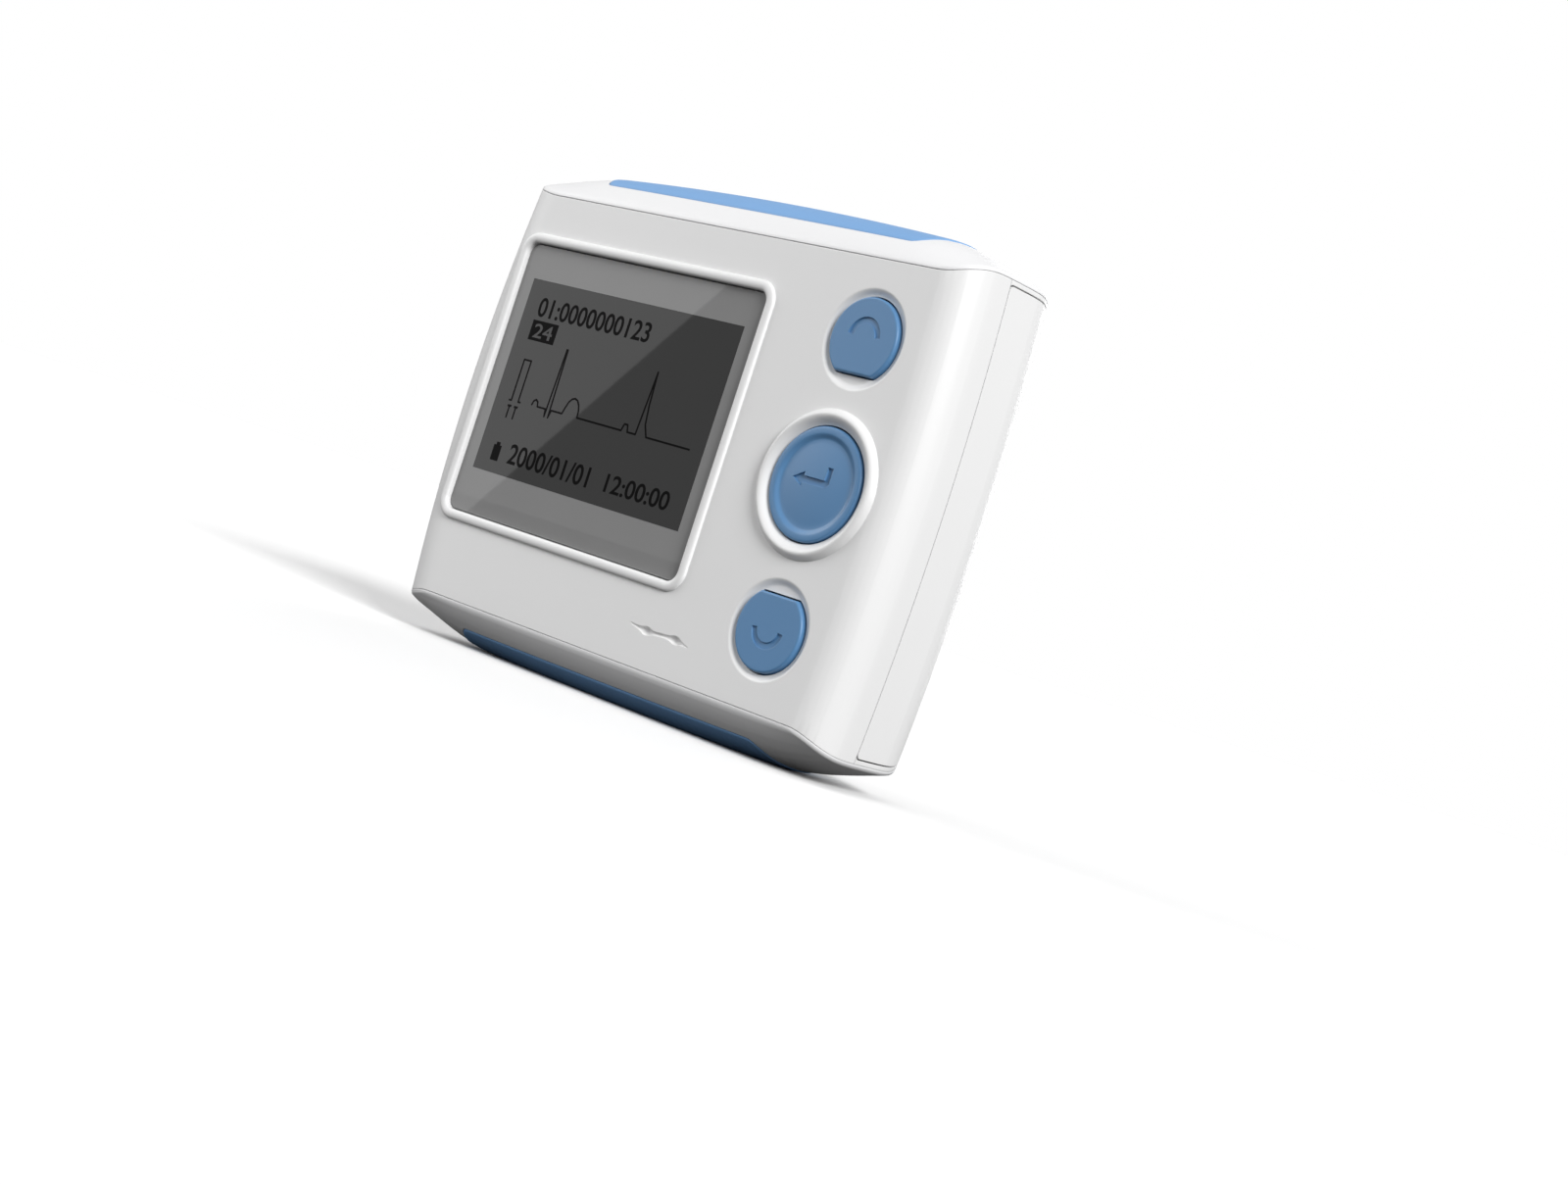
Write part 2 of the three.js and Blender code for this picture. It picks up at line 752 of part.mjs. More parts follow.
// A shape drawn in X and Y, made solid between two heights
function column(points, [low, high]) {
  const shape = new THREE.Shape(points.map(([x, depth]) => new THREE.Vector2(x, frontY + depth)));
  const geometry = new THREE.ExtrudeGeometry(shape, { depth: high - low, bevelEnabled: false });
  geometry.translate(0, 0, low);
  return solidOf(geometry);
}

// Keys

function smallKeyPlate(z, grow, depths, bevel = 0) {
  const towards = z > 0 ? -1 : 1;
  const shape = smallKeyShape(smallKeyRadius + grow, smallKeyFlat + grow, z, towards);
  return plate(shape, depths, bevel);
}

function glyphArc(z) {
  const towards = z > 0 ? 1 : -1;
  const middle = (towards * Math.PI) / 2;
  const half = Math.PI * glyphShare;
  const shape = new THREE.Shape();
  shape.absarc(keyX, z, glyphRadius + glyphWidth / 2, middle - half, middle + half, false);
  shape.absarc(keyX, z, glyphRadius - glyphWidth / 2, middle + half, middle - half, true);
  shape.closePath();
  return plate(shape, [-smallKeyProud - glyphHeight, -smallKeyProud + overrun]);
}

function makeSmallKey(z) {
  const top = -smallKeyProud + keyTopThickness;
  const body = join([
    smallKeyPlate(z, 0, [-smallKeyProud, keyFlangeDepth + keyEdge], keyEdge),
    smallKeyPlate(z, keyFlangeWidth, [keyFlangeDepth, keyBottom]),
  ]);
  const hollow = smallKeyPlate(z, -keyWall, [top, keyBottom + overrun]);
  const stem = rod(keyX, z, keyStemRadius, [top - seamGap, plungerTop - seatGap]);
  return join([body.subtract(hollow), stem, glyphArc(z)]);
}

function makeEnterKey() {
  const top = -enterProud;
  const inner = grooveRadius - grooveWidth / 2;
  const outer = grooveRadius + grooveWidth / 2;
  const underside = top + keyTopThickness;
  const body = turned(keyX, 0, [
    [0, underside],
    [enterRadius - keyWall, underside],
    [enterRadius - keyWall, keyBottom],
    [enterRadius + keyFlangeWidth, keyBottom],
    [enterRadius + keyFlangeWidth, keyFlangeDepth],
    [enterRadius, keyFlangeDepth],
    [enterRadius, top + keyEdge],
    [enterRadius - keyEdge, top],
    [outer, top],
    [grooveRadius, top + keyDish],
    [inner, top],
    [inner / 2, top + keyDish / 2],
    [0, top + keyDish],
  ]);
  const stem = rod(keyX, 0, keyStemRadius, [underside - seamGap, plungerTop - seatGap]);
  const left = keyX - enterGlyph / 2;
  const right = keyX + enterGlyph / 2;
  const line = glyphWidth / 2;
  const depths = [top - glyphHeight / 2, top + keyDish + overrun];
  const down = block(around(right, glyphWidth), depths, [-line, enterGlyph / 2]);
  const back = block([left, right + line], depths, around(0, glyphWidth));
  return join([body, stem, down, back]);
}

// Shells

const frontOfPocket = pocketFront - seamGap / 2;
const pocketNotch = pocketHalf + seamGap / 2;
const pocketTongue = pocketHalf - seamGap / 2;

function frontZone() {
  const ahead = block(everywhere, [-farOut, partingDepth - seamGap / 2], everywhere);
  const notch = block([-farOut, pocketInnerX + seamGap], [frontOfPocket, farOut], around(0, 2 * pocketNotch));
  return ahead.subtract(notch);
}

function rearZone() {
  const behind = block(everywhere, [partingDepth + seamGap / 2, farOut], everywhere);
  const reach = [pocketFront + seamGap / 2, farOut];
  const tongue = block([-farOut, pocketInnerX], reach, around(0, 2 * pocketTongue));
  return behind.add(tongue);
}

function pocketBox() {
  const depths = [pocketFront - pocketFloor, pocketBack + pocketFloor];
  const box = block([-farOut, pocketInnerX], depths, around(0, 2 * (pocketHalf + pocketFloor)));
  return box.intersect(outerBody);
}

function slotCut(near, width, length, z) {
  const middle = frontY + near + width / 2;
  const shape = roundedRectangle(width, length, slotRadius, middle, z);
  return bar(shape, [-farOut, pocketInnerX + overrun]);
}

function pocketCut() {
  const middle = frontY + (pocketFront + pocketBack) / 2;
  const shape = roundedRectangle(pocketBack - pocketFront, pocketHeight, pocketRadius, middle, 0);
  return bar(shape, [-farOut, pocketFloorX]);
}

// The sloping floor beside the lip, cut between the ribs
function pocketSlopes() {
  const slope = [
    [pocketFloorX - overrun, pocketFront - overrun],
    [pocketFloorX + pocketStep, pocketFront - overrun],
    [pocketFloorX + pocketStep, pocketFront],
    [pocketFloorX, pocketSlopeBack],
    [pocketFloorX - overrun, pocketSlopeBack],
  ];
  const ribs = Array.from({ length: ribCount }, (_, rib) => {
    return ribShift + ribPitch * (rib - (ribCount - 1) / 2);
  });
  const ends = [-pocketHalf + seamGap, ...ribs, pocketHalf - seamGap];
  const last = ends.length - 1;
  return ends.slice(1).map((end, index) => {
    const low = ends[index] + (index > 0 ? ribThickness / 2 : 0);
    const high = end - (index + 1 < last ? ribThickness / 2 : 0);
    return column(slope, [low, high]);
  });
}

const screwPlaces = [
  { side: "left", x: screwLeftX, seat: bodyDepth - screwSink },
  { side: "right", x: screwRightX, seat: shelfBack - screwSink },
].flatMap((place) => [
  { ...place, end: "upper", z: screwZ },
  { ...place, end: "lower", z: -screwZ },
]);

function makeFrontShell() {
  const skin = outerBody.subtract(innerRoom);
  const zone = frontZone();
  const bosses = screwPlaces.map(({ x, z }) => {
    return rod(x, z, frontBossRadius, [wall / 2, partingDepth - seamGap / 2]);
  });
  const blank = join([skin.add(pocketBox()), ...bosses]).intersect(outerBody).intersect(zone);
  const raised = join([blank, windowFrame(), enterBoss()]);
  const pilots = screwPlaces.map(({ x, z }) => rod(x, z, screwRadius + fitGap, [pilotFloor, farOut]));
  const keyHoles = [
    rod(keyX, 0, enterRadius + fitGap, [-overrun, wall + overrun], roundSteps),
    smallKeyPlate(keyPitch, fitGap, [-overrun, wall + overrun]),
    smallKeyPlate(-keyPitch, fitGap, [-overrun, wall + overrun]),
  ];
  const dishes = [smallKeyDish(keyPitch), smallKeyDish(-keyPitch)];
  const wave = plate(waveShape(), [-overrun, waveDepth]);
  return cut(raised, [windowOpening(), pocketCut(), wave, ...pilots, ...keyHoles, ...dishes]);
}

function doorSpace(gap) {
  const depths = [partingDepth + seamGap / 2 - gap / 2, farOut];
  const zone = block([doorLeft - gap / 2, farOut], depths, everywhere);
  return seamBar(doorEdge - gap / 2, everywhere).intersect(zone);
}

function makeBay() {
  const tall = [-farOut, farOut];
  const box = block([bayOuterX, bayRight], [bayFloorFront, shelfBack], tall);
  const shelfBox = block([doorLeft - wall, bayRight], [shelfFront, shelfBack], tall);
  const shelfRoot = block([doorLeft - wall, doorLeft - seamGap], [shelfFront, bodyDepth - wall / 2], tall);
  const all = join([box, shelfBox, shelfRoot]);
  const ahead = block(everywhere, [0, partingDepth + seamGap], everywhere);
  const front = all.intersect(ahead).intersect(envelope(wall + fitGap, endWall + fitGap));
  const behind = block(everywhere, [partingDepth + seamGap / 2, farOut], everywhere);
  const room = envelope(doorWall + doorShelfGap, endWall / 2);
  const solid = all.intersect(behind).intersect(room).add(front);
  const cavity = block([bayInnerX, farOut], [bayFloorBack, farOut], around(0, 2 * bayHalfLength));
  return solid.subtract(cavity);
}

// The channels at both ends of the bay in which the door's rails run
function railChannels() {
  const left = railLeft - seamGap;
  const inner = railLegInner - seamGap;
  const legWidth = railLegOuter + seamGap - inner;
  const footWidth = railFootOuter + seamGap - inner;
  return [1, -1].flatMap((towards) => {
    const legZ = around(towards * (inner + legWidth / 2), legWidth);
    const footZ = around(towards * (inner + footWidth / 2), footWidth);
    return [
      block([left, farOut], [railFootFront - seamGap, farOut], legZ),
      block([left, farOut], [railFootFront - seamGap, ledgeFront], footZ),
    ];
  });
}

function makeRearShell() {
  const besideDoor = doorSpace(seamGap).subtract(envelope(wall + seamGap / 2, -overrun));
  const skin = cut(outerBody, [innerRoom, besideDoor]);
  const bosses = screwPlaces.map(({ x, z, side }) => {
    const far = side === "left" ? bodyDepth - wall / 2 : shelfBack;
    return rod(x, z, rearBossRadius, [partingDepth + seamGap / 2, far]);
  });
  const pockets = screwPlaces.flatMap(({ x, z, seat }) => [
    rod(x, z, screwRadius + fitGap, [0, farOut]),
    rod(x, z, screwHeadRadius + fitGap, [seat, farOut]),
  ]);
  const plugs = screwPlaces
    .filter(({ side }) => side === "left")
    .map(({ x, z }) => rod(x, z, plugRadius + plugGap, [bodyDepth - plugThickness - seatGap, farOut]));
  const label = roundedRectangle(labelWidth, labelHeight, labelRadius, labelX, 0);
  const pegHoles = [1, -1].flatMap((towards) => {
    return [-capPegX, capPegX].map((x) => {
      return post(x, capPegDepth, capPegRadius + fitGap, towards, [pegEnd - overrun, farOut]);
    });
  });
  const blank = join([skin, pocketBox(), ...bosses]).intersect(outerBody);
  const zoned = join([blank.intersect(rearZone()), makeBay()]);
  return cut(zoned, [
    plate(label, [bodyDepth - labelDepth, farOut]),
    pocketCut(),
    slotCut(cableSlotNear, cableSlotWidth, cableSlotLength, cableSlotZ),
    slotCut(usbSlotNear, usbSlotWidth, usbSlotLength, usbSlotZ),
    ...pocketSlopes(),
    ...pockets,
    ...plugs,
    ...pegHoles,
    ...railChannels(),
  ]);
}

function makeDoor() {
  const depths = [partingDepth + seamGap / 2, farOut];
  const zone = block([doorLeft + seamGap / 2, farOut], depths, everywhere);
  const outer = outerBody.intersect(zone).intersect(seamBar(doorEdge + seamGap / 2));
  const skin = outer.subtract(envelope(doorWall, -overrun));
  const rails = [1, -1].flatMap((towards) => {
    const legZ = around((towards * (railLegInner + railLegOuter)) / 2, railLeg);
    const footZ = around((towards * (railLegInner + railFootOuter)) / 2, railFootOuter - railLegInner);
    return [
      block([railLeft, railRight], [railFootFront, doorInner + doorWall / 2], legZ),
      block([railLeft, railRight], [railFootFront, railFootBack], footZ),
    ];
  });
  const grips = Array.from({ length: gripCount }, (_, grip) => {
    const x = gripX + gripPitch * (grip - (gripCount - 1) / 2);
    return gripGroove(x);
  });
  return cut(join([skin, ...rails]), grips);
}

// A shallow groove with ends that run out
function gripGroove(x) {
  const half = gripLength / 2;
  const points = [-1, -gripFlatShare, gripFlatShare, 1];
  const width = points.map((share) => (Math.abs(share) < 1 ? gripWidth / 2 : gripWidth / 4));
  const shape = new THREE.Shape([
    ...points.map((share, index) => new THREE.Vector2(x + width[index], share * half)),
    ...points.map((share, index) => new THREE.Vector2(x - width[index], -share * half)),
  ]);
  return plate(shape, [bodyDepth - gripSink, farOut]);
}

// Parts behind the window

function makeWindow() {
  const shape = roundedRectangle(windowWidth, windowHeight, windowRadius, windowX, windowZ);
  return plate(shape, [windowSink, windowFloor - seatGap]);
}

function makeGasket() {
  const width = windowWidth - 2 * windowLedge;
  const height = windowHeight - 2 * windowLedge;
  const depths = [wall + seatGap, wall + gasketThickness - seatGap];
  const wide = width + 2 * gasketWidth;
  const tall = height + 2 * gasketWidth;
  const outer = plate(roundedRectangle(wide, tall, windowRadius, windowX, windowZ), depths);
  const inner = roundedRectangle(width, height, windowRadius, windowX, windowZ);
  return outer.subtract(plate(inner, [0, farOut]));
}

function screenPlate([near, thickness]) {
  return block(around(windowX, lcdWidth), [near, near + thickness], around(windowZ, lcdHeight));
}

const screenBottom = windowZ - lcdHeight / 2;
const flexNear = lcdDepth + lcdThickness;
const flexPlugNear = boardDepth - seatGap - flexPlugThickness;

function makeFlex() {
  const low = screenBottom - flexDrop;
  const depths = [flexPlugNear - seatGap - flexThickness, flexPlugNear - seatGap];
  return block(around(windowX, flexWidth), depths, [low, screenBottom - seatGap]);
}

function makeFlexPlug() {
  const low = screenBottom - flexDrop;
  const depths = [flexPlugNear, flexPlugNear + flexPlugThickness];
  return block(around(windowX, flexPlugWidth), depths, [low, low + flexPlugHeight]);
}

// Boards and the parts on them

const boardRear = boardBack + seatGap;

function makeSwitch(z) {
  const depths = [switchTop, switchTop + switchThickness];
  const body = block(around(keyX, switchSize), depths, around(z, switchSize));
  const hole = rod(keyX, z, plungerRadius + seatGap, [0, boardDepth - seatGap - plungerFloor]);
  return body.subtract(hole);
}

function makePlunger(z) {
  return rod(keyX, z, plungerRadius, [plungerTop, plungerTop + plungerLength]);
}

function chip(x, z, width, height, near, thickness) {
  return block(around(x, width), [near, near + thickness], around(z, height));
}

function makeBuzzer() {
  const body = rod(buzzerX, buzzerZ, buzzerRadius, [boardRear, boardRear + buzzerThickness]);
  const hole = rod(buzzerX, buzzerZ, buzzerHoleRadius, [boardRear + buzzerThickness / 2, farOut]);
  return body.subtract(hole);
}

function makeHeader() {
  const depths = [boardRear, sideBoardDepth - seatGap];
  return block(around(headerX, headerWidth), depths, around(0, headerLength));
}

// A socket that opens to the left, and the tongue inside it
function makeSocket([near, far], slotNear, slotWidth, slotLength, z) {
  const length = slotLength + 2 * socketWall;
  const body = block([socketMouthX, socketEndX], [near, far], around(z, length));
  const mouth = [socketMouthX - overrun, socketMouthX + socketHollow];
  const hollow = block(mouth, [slotNear, slotNear + slotWidth], around(z, slotLength));
  return body.subtract(hollow);
}

function makeTongue(slotNear, slotWidth, slotLength, thickness, z) {
  const places = [socketMouthX + tongueSink, socketMouthX + socketHollow - seatGap];
  const middle = slotNear + slotWidth / 2;
  return block(places, around(middle, thickness), around(z, slotLength - 2 * tongueEdge));
}

// Screws, and the plugs over two of them

function makeScrew({ x, z, seat }) {
  const back = seat + seatGap + screwHeadHeight;
  const body = turned(x, z, [
    [0, back],
    [screwHeadRadius, back],
    [screwHeadRadius, seat + seatGap],
    [screwRadius, seat + seatGap],
    [screwRadius, screwEnd],
    [0, screwEnd],
  ], smallRoundSteps);
  const depths = [back - crossDepth, back + overrun];
  return cut(body, [
    block(around(x, crossWidth), depths, around(z, crossLength)),
    block(around(x, crossLength), depths, around(z, crossWidth)),
  ]);
}

function makePlug({ x, z }) {
  return rod(x, z, plugRadius, [bodyDepth - plugThickness, bodyDepth]);
}

// Battery and contacts

// A turned solid about a line along Z. The profile's points are [radius, height], from the bottom to the top.
function upright(x, depth, profile) {
  const points = profile.map(([radius, height]) => new THREE.Vector2(radius, height));
  const geometry = new THREE.LatheGeometry(points, smallRoundSteps);
  geometry.rotateX(Math.PI / 2);
  geometry.translate(x, frontY + depth, 0);
  return solidOf(geometry);
}

function makeCell() {
  const shoulder = cellTop - cellNubLength;
  return upright(cellX, cellDepth, [
    [0, cellBottom],
    [cellRadius - cellEdge, cellBottom],
    [cellRadius, cellBottom + cellEdge],
    [cellRadius, shoulder - cellEdge],
    [cellRadius - cellEdge, shoulder],
    [cellNubRadius, shoulder],
    [cellNubRadius, cellTop],
    [0, cellTop],
  ]);
}

function makeContact(towards) {
  const heights = towards > 0 ? [plateFace, plateEnd] : [-plateEnd, -plateFace];
  return block(around(cellX, contactWidth), [bayFloorBack + seatGap, contactBack], heights);
}

function makeSpring() {
  const low = -plateFace + seatGap + springWire / 2;
  const high = cellBottom - seatGap - springWire / 2;
  const steps = springTurns * springStepsPerTurn;
  const points = Array.from({ length: steps + 1 }, (_, step) => {
    const share = step / steps;
    const angle = 2 * Math.PI * springTurns * share;
    const radius = springBaseRadius + (springTipRadius - springBaseRadius) * share;
    const x = cellX + radius * Math.cos(angle);
    const y = frontY + cellDepth + radius * Math.sin(angle);
    return new THREE.Vector3(x, y, low + (high - low) * share);
  });
  const section = Array.from({ length: springSides }, (_, side) => {
    const angle = (2 * Math.PI * side) / springSides;
    return new THREE.Vector2(Math.cos(angle), Math.sin(angle)).multiplyScalar(springWire / 2);
  });
  const geometry = new THREE.ExtrudeGeometry(new THREE.Shape(section), {
    steps,
    extrudePath: new THREE.CatmullRomCurve3(points),
  });
  return solidOf(geometry);
}

// Materials, as colour, roughness and metalness

const surfaces = {
  housing: [0xdfe1e3, 0.5, 0],
  cap: [0xd6d8dc, 0.5, 0],
  trim: [0x7392bf, 0.45, 0],
  key: [0x7f9ac4, 0.45, 0],
  window: [0x8b9298, 0.15, 0],
  screen: [0x6c7478, 0.2, 0],
  frame: [0x2c2e31, 0.6, 0],
  rubber: [0x202224, 0.9, 0],
  board: [0x1f6b45, 0.5, 0],
  chip: [0x1b1c1e, 0.45, 0],
  steel: [0xb9bcc0, 0.3, 1],
  gold: [0xc9a350, 0.35, 1],
  flex: [0xb87a35, 0.5, 0],
  coil: [0x4a4c50, 0.7, 0],
  switch: [0x2a2a2c, 0.5, 0],
  plunger: [0xcfcac0, 0.5, 0],
  cell: [0xa9b3bd, 0.35, 0.6],
};

const recorder = new THREE.Group();
recorder.name = "holter_monitor";

// The housing is drawn round its middle, and lifted here so that it stands on Z = 0
const assembly = new THREE.Group();
assembly.position.z = halfHeight;
recorder.add(assembly);

function place(name, surface, solid) {
  const [color, roughness, metalness] = surfaces[surface];
  const material = new THREE.MeshStandardMaterial({ color, roughness, metalness });
  const mesh = new THREE.Mesh(geometryOf(solid), material);
  mesh.name = name;
  assembly.add(mesh);
}

place("front_shell", "housing", makeFrontShell());
place("rear_shell", "housing", makeRearShell());
place("battery_door", "housing", makeDoor());
place("upper_cap", "cap", makeCap(1));
place("lower_cap", "cap", makeCap(-1));
place("upper_trim", "trim", makeTrim(1));
place("lower_trim", "trim", makeTrim(-1));

place("display_window", "window", makeWindow());
place("display_gasket", "rubber", makeGasket());
place("display_glass", "screen", screenPlate([lcdDepth, lcdThickness - seatGap]));
place("display_backlight", "frame", screenPlate([flexNear, backlightThickness - seatGap]));
place("display_flex", "flex", makeFlex());
place("flex_plug", "chip", makeFlexPlug());

const keys = [
  { name: "up", z: keyPitch, solid: makeSmallKey(keyPitch) },
  { name: "enter", z: 0, solid: makeEnterKey() },
  { name: "down", z: -keyPitch, solid: makeSmallKey(-keyPitch) },
];
keys.forEach(({ name, z, solid }) => {
  place(`${name}_key`, "key", solid);
  place(`${name}_switch`, "switch", makeSwitch(z));
  place(`${name}_plunger`, "plunger", makePlunger(z));
});

const mainBoard = [boardDepth, boardDepth + boardThickness];
const sideBoard = [sideBoardDepth, sideBoardBack];
const sideBoardRear = sideBoardBack + seatGap;
place("main_board", "board", block([boardLeft, boardRight], mainBoard, around(0, boardHeight)));
place("signal_board", "board", block([sideBoardLeft, sideBoardRight], sideBoard, around(0, sideBoardHeight)));
place("board_header", "chip", makeHeader());
place("main_chip", "chip", chip(mainChipX, mainChipZ, mainChipSize, mainChipSize, boardRear, chipThickness));
place(
  "memory_chip",
  "chip",
  chip(memoryChipX, memoryChipZ, memoryChipLength, memoryChipWidth, boardRear, chipThickness),
);
place("signal_chip", "chip", chip(sideChipX, sideChipZ, sideChipSize, sideChipSize, sideBoardRear, chipThickness));
place("crystal", "steel", chip(crystalX, crystalZ, crystalLength, crystalWidth, boardRear, chipThickness));
place("supply_coil", "coil", chip(coilX, coilZ, coilSize, coilSize, boardRear, coilThickness));
place("buzzer", "chip", makeBuzzer());
place("backup_cell", "steel", rod(backupX, backupZ, backupRadius, [boardRear, boardRear + backupThickness]));

const cableSlot = [cableSlotNear, cableSlotWidth, cableSlotLength];
const usbSlot = [usbSlotNear, usbSlotWidth, usbSlotLength];
place("cable_socket", "chip", makeSocket([socketNear, socketFar], ...cableSlot, cableSlotZ));
place("cable_socket_tongue", "gold", makeTongue(...cableSlot, cableTongueThickness, cableSlotZ));
place("usb_socket", "steel", makeSocket([usbSlotNear - socketWall, socketFar], ...usbSlot, usbSlotZ));
place("usb_socket_tongue", "chip", makeTongue(...usbSlot, usbTongueThickness, usbSlotZ));

screwPlaces.forEach((screw) => {
  place(`${screw.end}_${screw.side}_screw`, "steel", makeScrew(screw));
  if (screw.side === "left") {
    place(`${screw.end}_screw_plug`, "housing", makePlug(screw));
  }
});

place("battery", "cell", makeCell());
place("battery_plus_contact", "steel", makeContact(1));
place("battery_minus_contact", "steel", makeContact(-1));
place("battery_spring", "steel", makeSpring());

export default recorder;
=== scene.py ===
import math

import bmesh
import bpy
import numpy as np
from mathutils import Matrix, Vector


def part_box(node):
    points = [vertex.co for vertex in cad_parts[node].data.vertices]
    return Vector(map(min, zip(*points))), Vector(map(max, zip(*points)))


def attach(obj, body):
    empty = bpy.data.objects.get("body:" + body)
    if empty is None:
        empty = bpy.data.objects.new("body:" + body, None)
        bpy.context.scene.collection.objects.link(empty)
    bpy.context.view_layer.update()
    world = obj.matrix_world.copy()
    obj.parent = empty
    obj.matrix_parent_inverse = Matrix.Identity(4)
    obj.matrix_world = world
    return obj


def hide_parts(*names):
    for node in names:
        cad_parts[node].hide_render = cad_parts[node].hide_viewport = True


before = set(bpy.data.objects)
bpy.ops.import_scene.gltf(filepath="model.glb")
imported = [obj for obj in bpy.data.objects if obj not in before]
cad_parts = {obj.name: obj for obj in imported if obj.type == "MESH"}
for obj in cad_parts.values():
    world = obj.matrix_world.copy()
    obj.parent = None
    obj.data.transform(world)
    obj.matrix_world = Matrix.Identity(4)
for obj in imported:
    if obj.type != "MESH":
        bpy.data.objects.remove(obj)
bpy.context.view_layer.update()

MM = 0.001


def node_box(name):
    low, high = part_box(name)
    return [value / MM for value in low], [value / MM for value in high]


def node_middle(name):
    return [(low + high) / 2 for low, high in zip(*node_box(name))]


# Camera, set from the photograph: turned to the right of the front, level, and rolled
PHOTO_AZIMUTH = math.radians(42.35)
PHOTO_ROLL = math.radians(18.11)
CAMERA_PLACE = (224.62, -226.08, 19.78)
CAMERA_LENS = 58.16
CAMERA_SENSOR = 36.0

# Driving sizes of the housing
KEY_X, _, LIFT = node_middle("enter_key")
CAP_LOW, CAP_HIGH = node_box("upper_cap")
HALF_DEPTH = (CAP_HIGH[1] - CAP_LOW[1]) / 2
BODY_DEPTH = 2 * HALF_DEPTH
HALF_WIDTH = 39.05
HALF_FACE = 27.4
RIGHT_BOW = 1.0
LEFT_BOW = 1.7
LEFT_LEAN = 1.5
FRONT_RIGHT_RADIUS = 5.0
CAMBER_RADIUS = 14.0
CAMBER_REACH = 6.3
CAMBER_BLEND = 0.25
CAMBER_TURN = math.radians(26)
BACK_RIGHT_RADIUS = 6.0
BACK_LEFT_RADIUS = 3.2
SEAM_RISE = 1.9
PARTING_DEPTH = 7.6
WALL = 2.0

# Gaps and edges as they look, finer than those between the solids
DOOR_GAP = 0.16
PARTING_GAP = 0.08
CAP_GAP = 0.01
LINE_GAP = 0.16
SHELL_EDGE = 0.13

# Skin of the shells, what they hold inside it, and how far cuts run past what they cut
SKIN = 1.8
SKIN_END = 1.15
CORE_INSET = 0.7
OVERRUN = 2.0
FAR_OUT = 90.0
EVERYWHERE = (-FAR_OUT, FAR_OUT)

# End caps and trims
CAP_EDGE = 0.45
CAP_ROUNDING = 0.3
CAP_CROWN = 3.6
CAP_FALL = 11.0
CROWN_Z = HALF_FACE + SEAM_RISE + CAP_EDGE + CAP_CROWN
CAP_SAG = CROWN_Z - HALF_FACE - CAP_EDGE
CAP_RADIUS = (HALF_DEPTH**2 + CAP_SAG**2) / (2 * CAP_SAG)
CROWN_BOW_SHARE = 0.4
CAP_WALL = 1.9
CAP_PEG_X = 14.0
CAP_PEG_DEPTH = 12.5
CAP_PEG_RADIUS = 1.0
CAP_PEG_CLEARANCE = 0.3
CAP_PEG_SINK = 0.5
TRIM_INSET = 8.9
TRIM_WIDTH = 14.5
TRIM_POINT = 3.75
TRIM_TIP_WIDTH = 1.0
TRIM_BOW_SHARE = 0.05
TRIM_RECESS = 1.1
TRIM_PROUD = 0.12
TRIM_ROUNDING = 0.2
TRIM_GAP = 0.07

# Window
WINDOW_LOW, WINDOW_HIGH = node_box("display_window")
WINDOW_X = (WINDOW_LOW[0] + WINDOW_HIGH[0]) / 2
WINDOW_Z = (WINDOW_LOW[2] + WINDOW_HIGH[2]) / 2 - LIFT
WINDOW_WIDTH = WINDOW_HIGH[0] - WINDOW_LOW[0]
WINDOW_HEIGHT = WINDOW_HIGH[2] - WINDOW_LOW[2]
WINDOW_NEAR = WINDOW_LOW[1] + HALF_DEPTH
WINDOW_FAR = WINDOW_HIGH[1] + HALF_DEPTH
WINDOW_RADIUS = 1.4
WINDOW_LEDGE = 1.6
WINDOW_GAP = 0.12
WINDOW_CHAMFER = 0.12
RIM_WIDTH = 1.3
RIM_HEIGHT = 0.5
RIM_FLATNESS = 0.6

# Display. Places on it are measured right of and up from its upper left corner
SCREEN_LEFT = -32.7
SCREEN_TOP = 16.1
SCREEN_WIDTH = 40.0
SCREEN_HEIGHT = 26.1
SCREEN_FILM = 0.02
INK_FACE = 0.04
INK_BACK = 0.01
INK_LAYER = (WINDOW_NEAR - INK_FACE, WINDOW_NEAR - INK_BACK)
INVERSE_FACE = 0.06
INVERSE_BACK = 0.03
INVERSE_LAYER = (WINDOW_NEAR - INVERSE_FACE, WINDOW_NEAR - INVERSE_BACK)
LINE_WIDTH = 0.24
LINE_JOINT_STEPS = 12
TRACE_BASE = -16.2
TRACE_START = ((7.3, TRACE_BASE), (7.5, -15.6), (7.9, -15.35), (8.3, -15.6), (8.5, TRACE_BASE))
FIRST_PEAK = ((10.1, TRACE_BASE), (10.3, -17.2), (10.6, -8.1), (10.8, -8.1), (11.05, -17.2))
FIRST_PEAK_END = ((11.3, TRACE_BASE), (13.4, TRACE_BASE))
SWELL_X = 15.0
SWELL_HALF = 1.4
SWELL_HEIGHT = 2.3
SWELL_STEPS = 8
SMALL_STEP = ((16.4, TRACE_BASE), (24.9, TRACE_BASE), (25.2, -15.3), (25.8, -15.3), (26.1, TRACE_BASE))
SECOND_PEAK = ((27.6, TRACE_BASE), (28.1, -8.0), (28.4, -12.2), (28.8, -14.7), (29.6, TRACE_BASE))
TRACE_END = (37.6, TRACE_BASE)
PULSE = ((2.7, -16.3), (3.2, -16.3), (3.2, -10.7), (4.6, -10.7), (4.6, -16.3), (5.1, -16.3))
TICK_PLACES = (3.2, 4.5)
TICK_TOP = -16.9
TICK_BAR_LOW = -17.2
TICK_LOW = -18.7
TICK_BAR_HALF = 0.36
ICON_CASE = (2.75, -24.5, 4.25, -22.4)
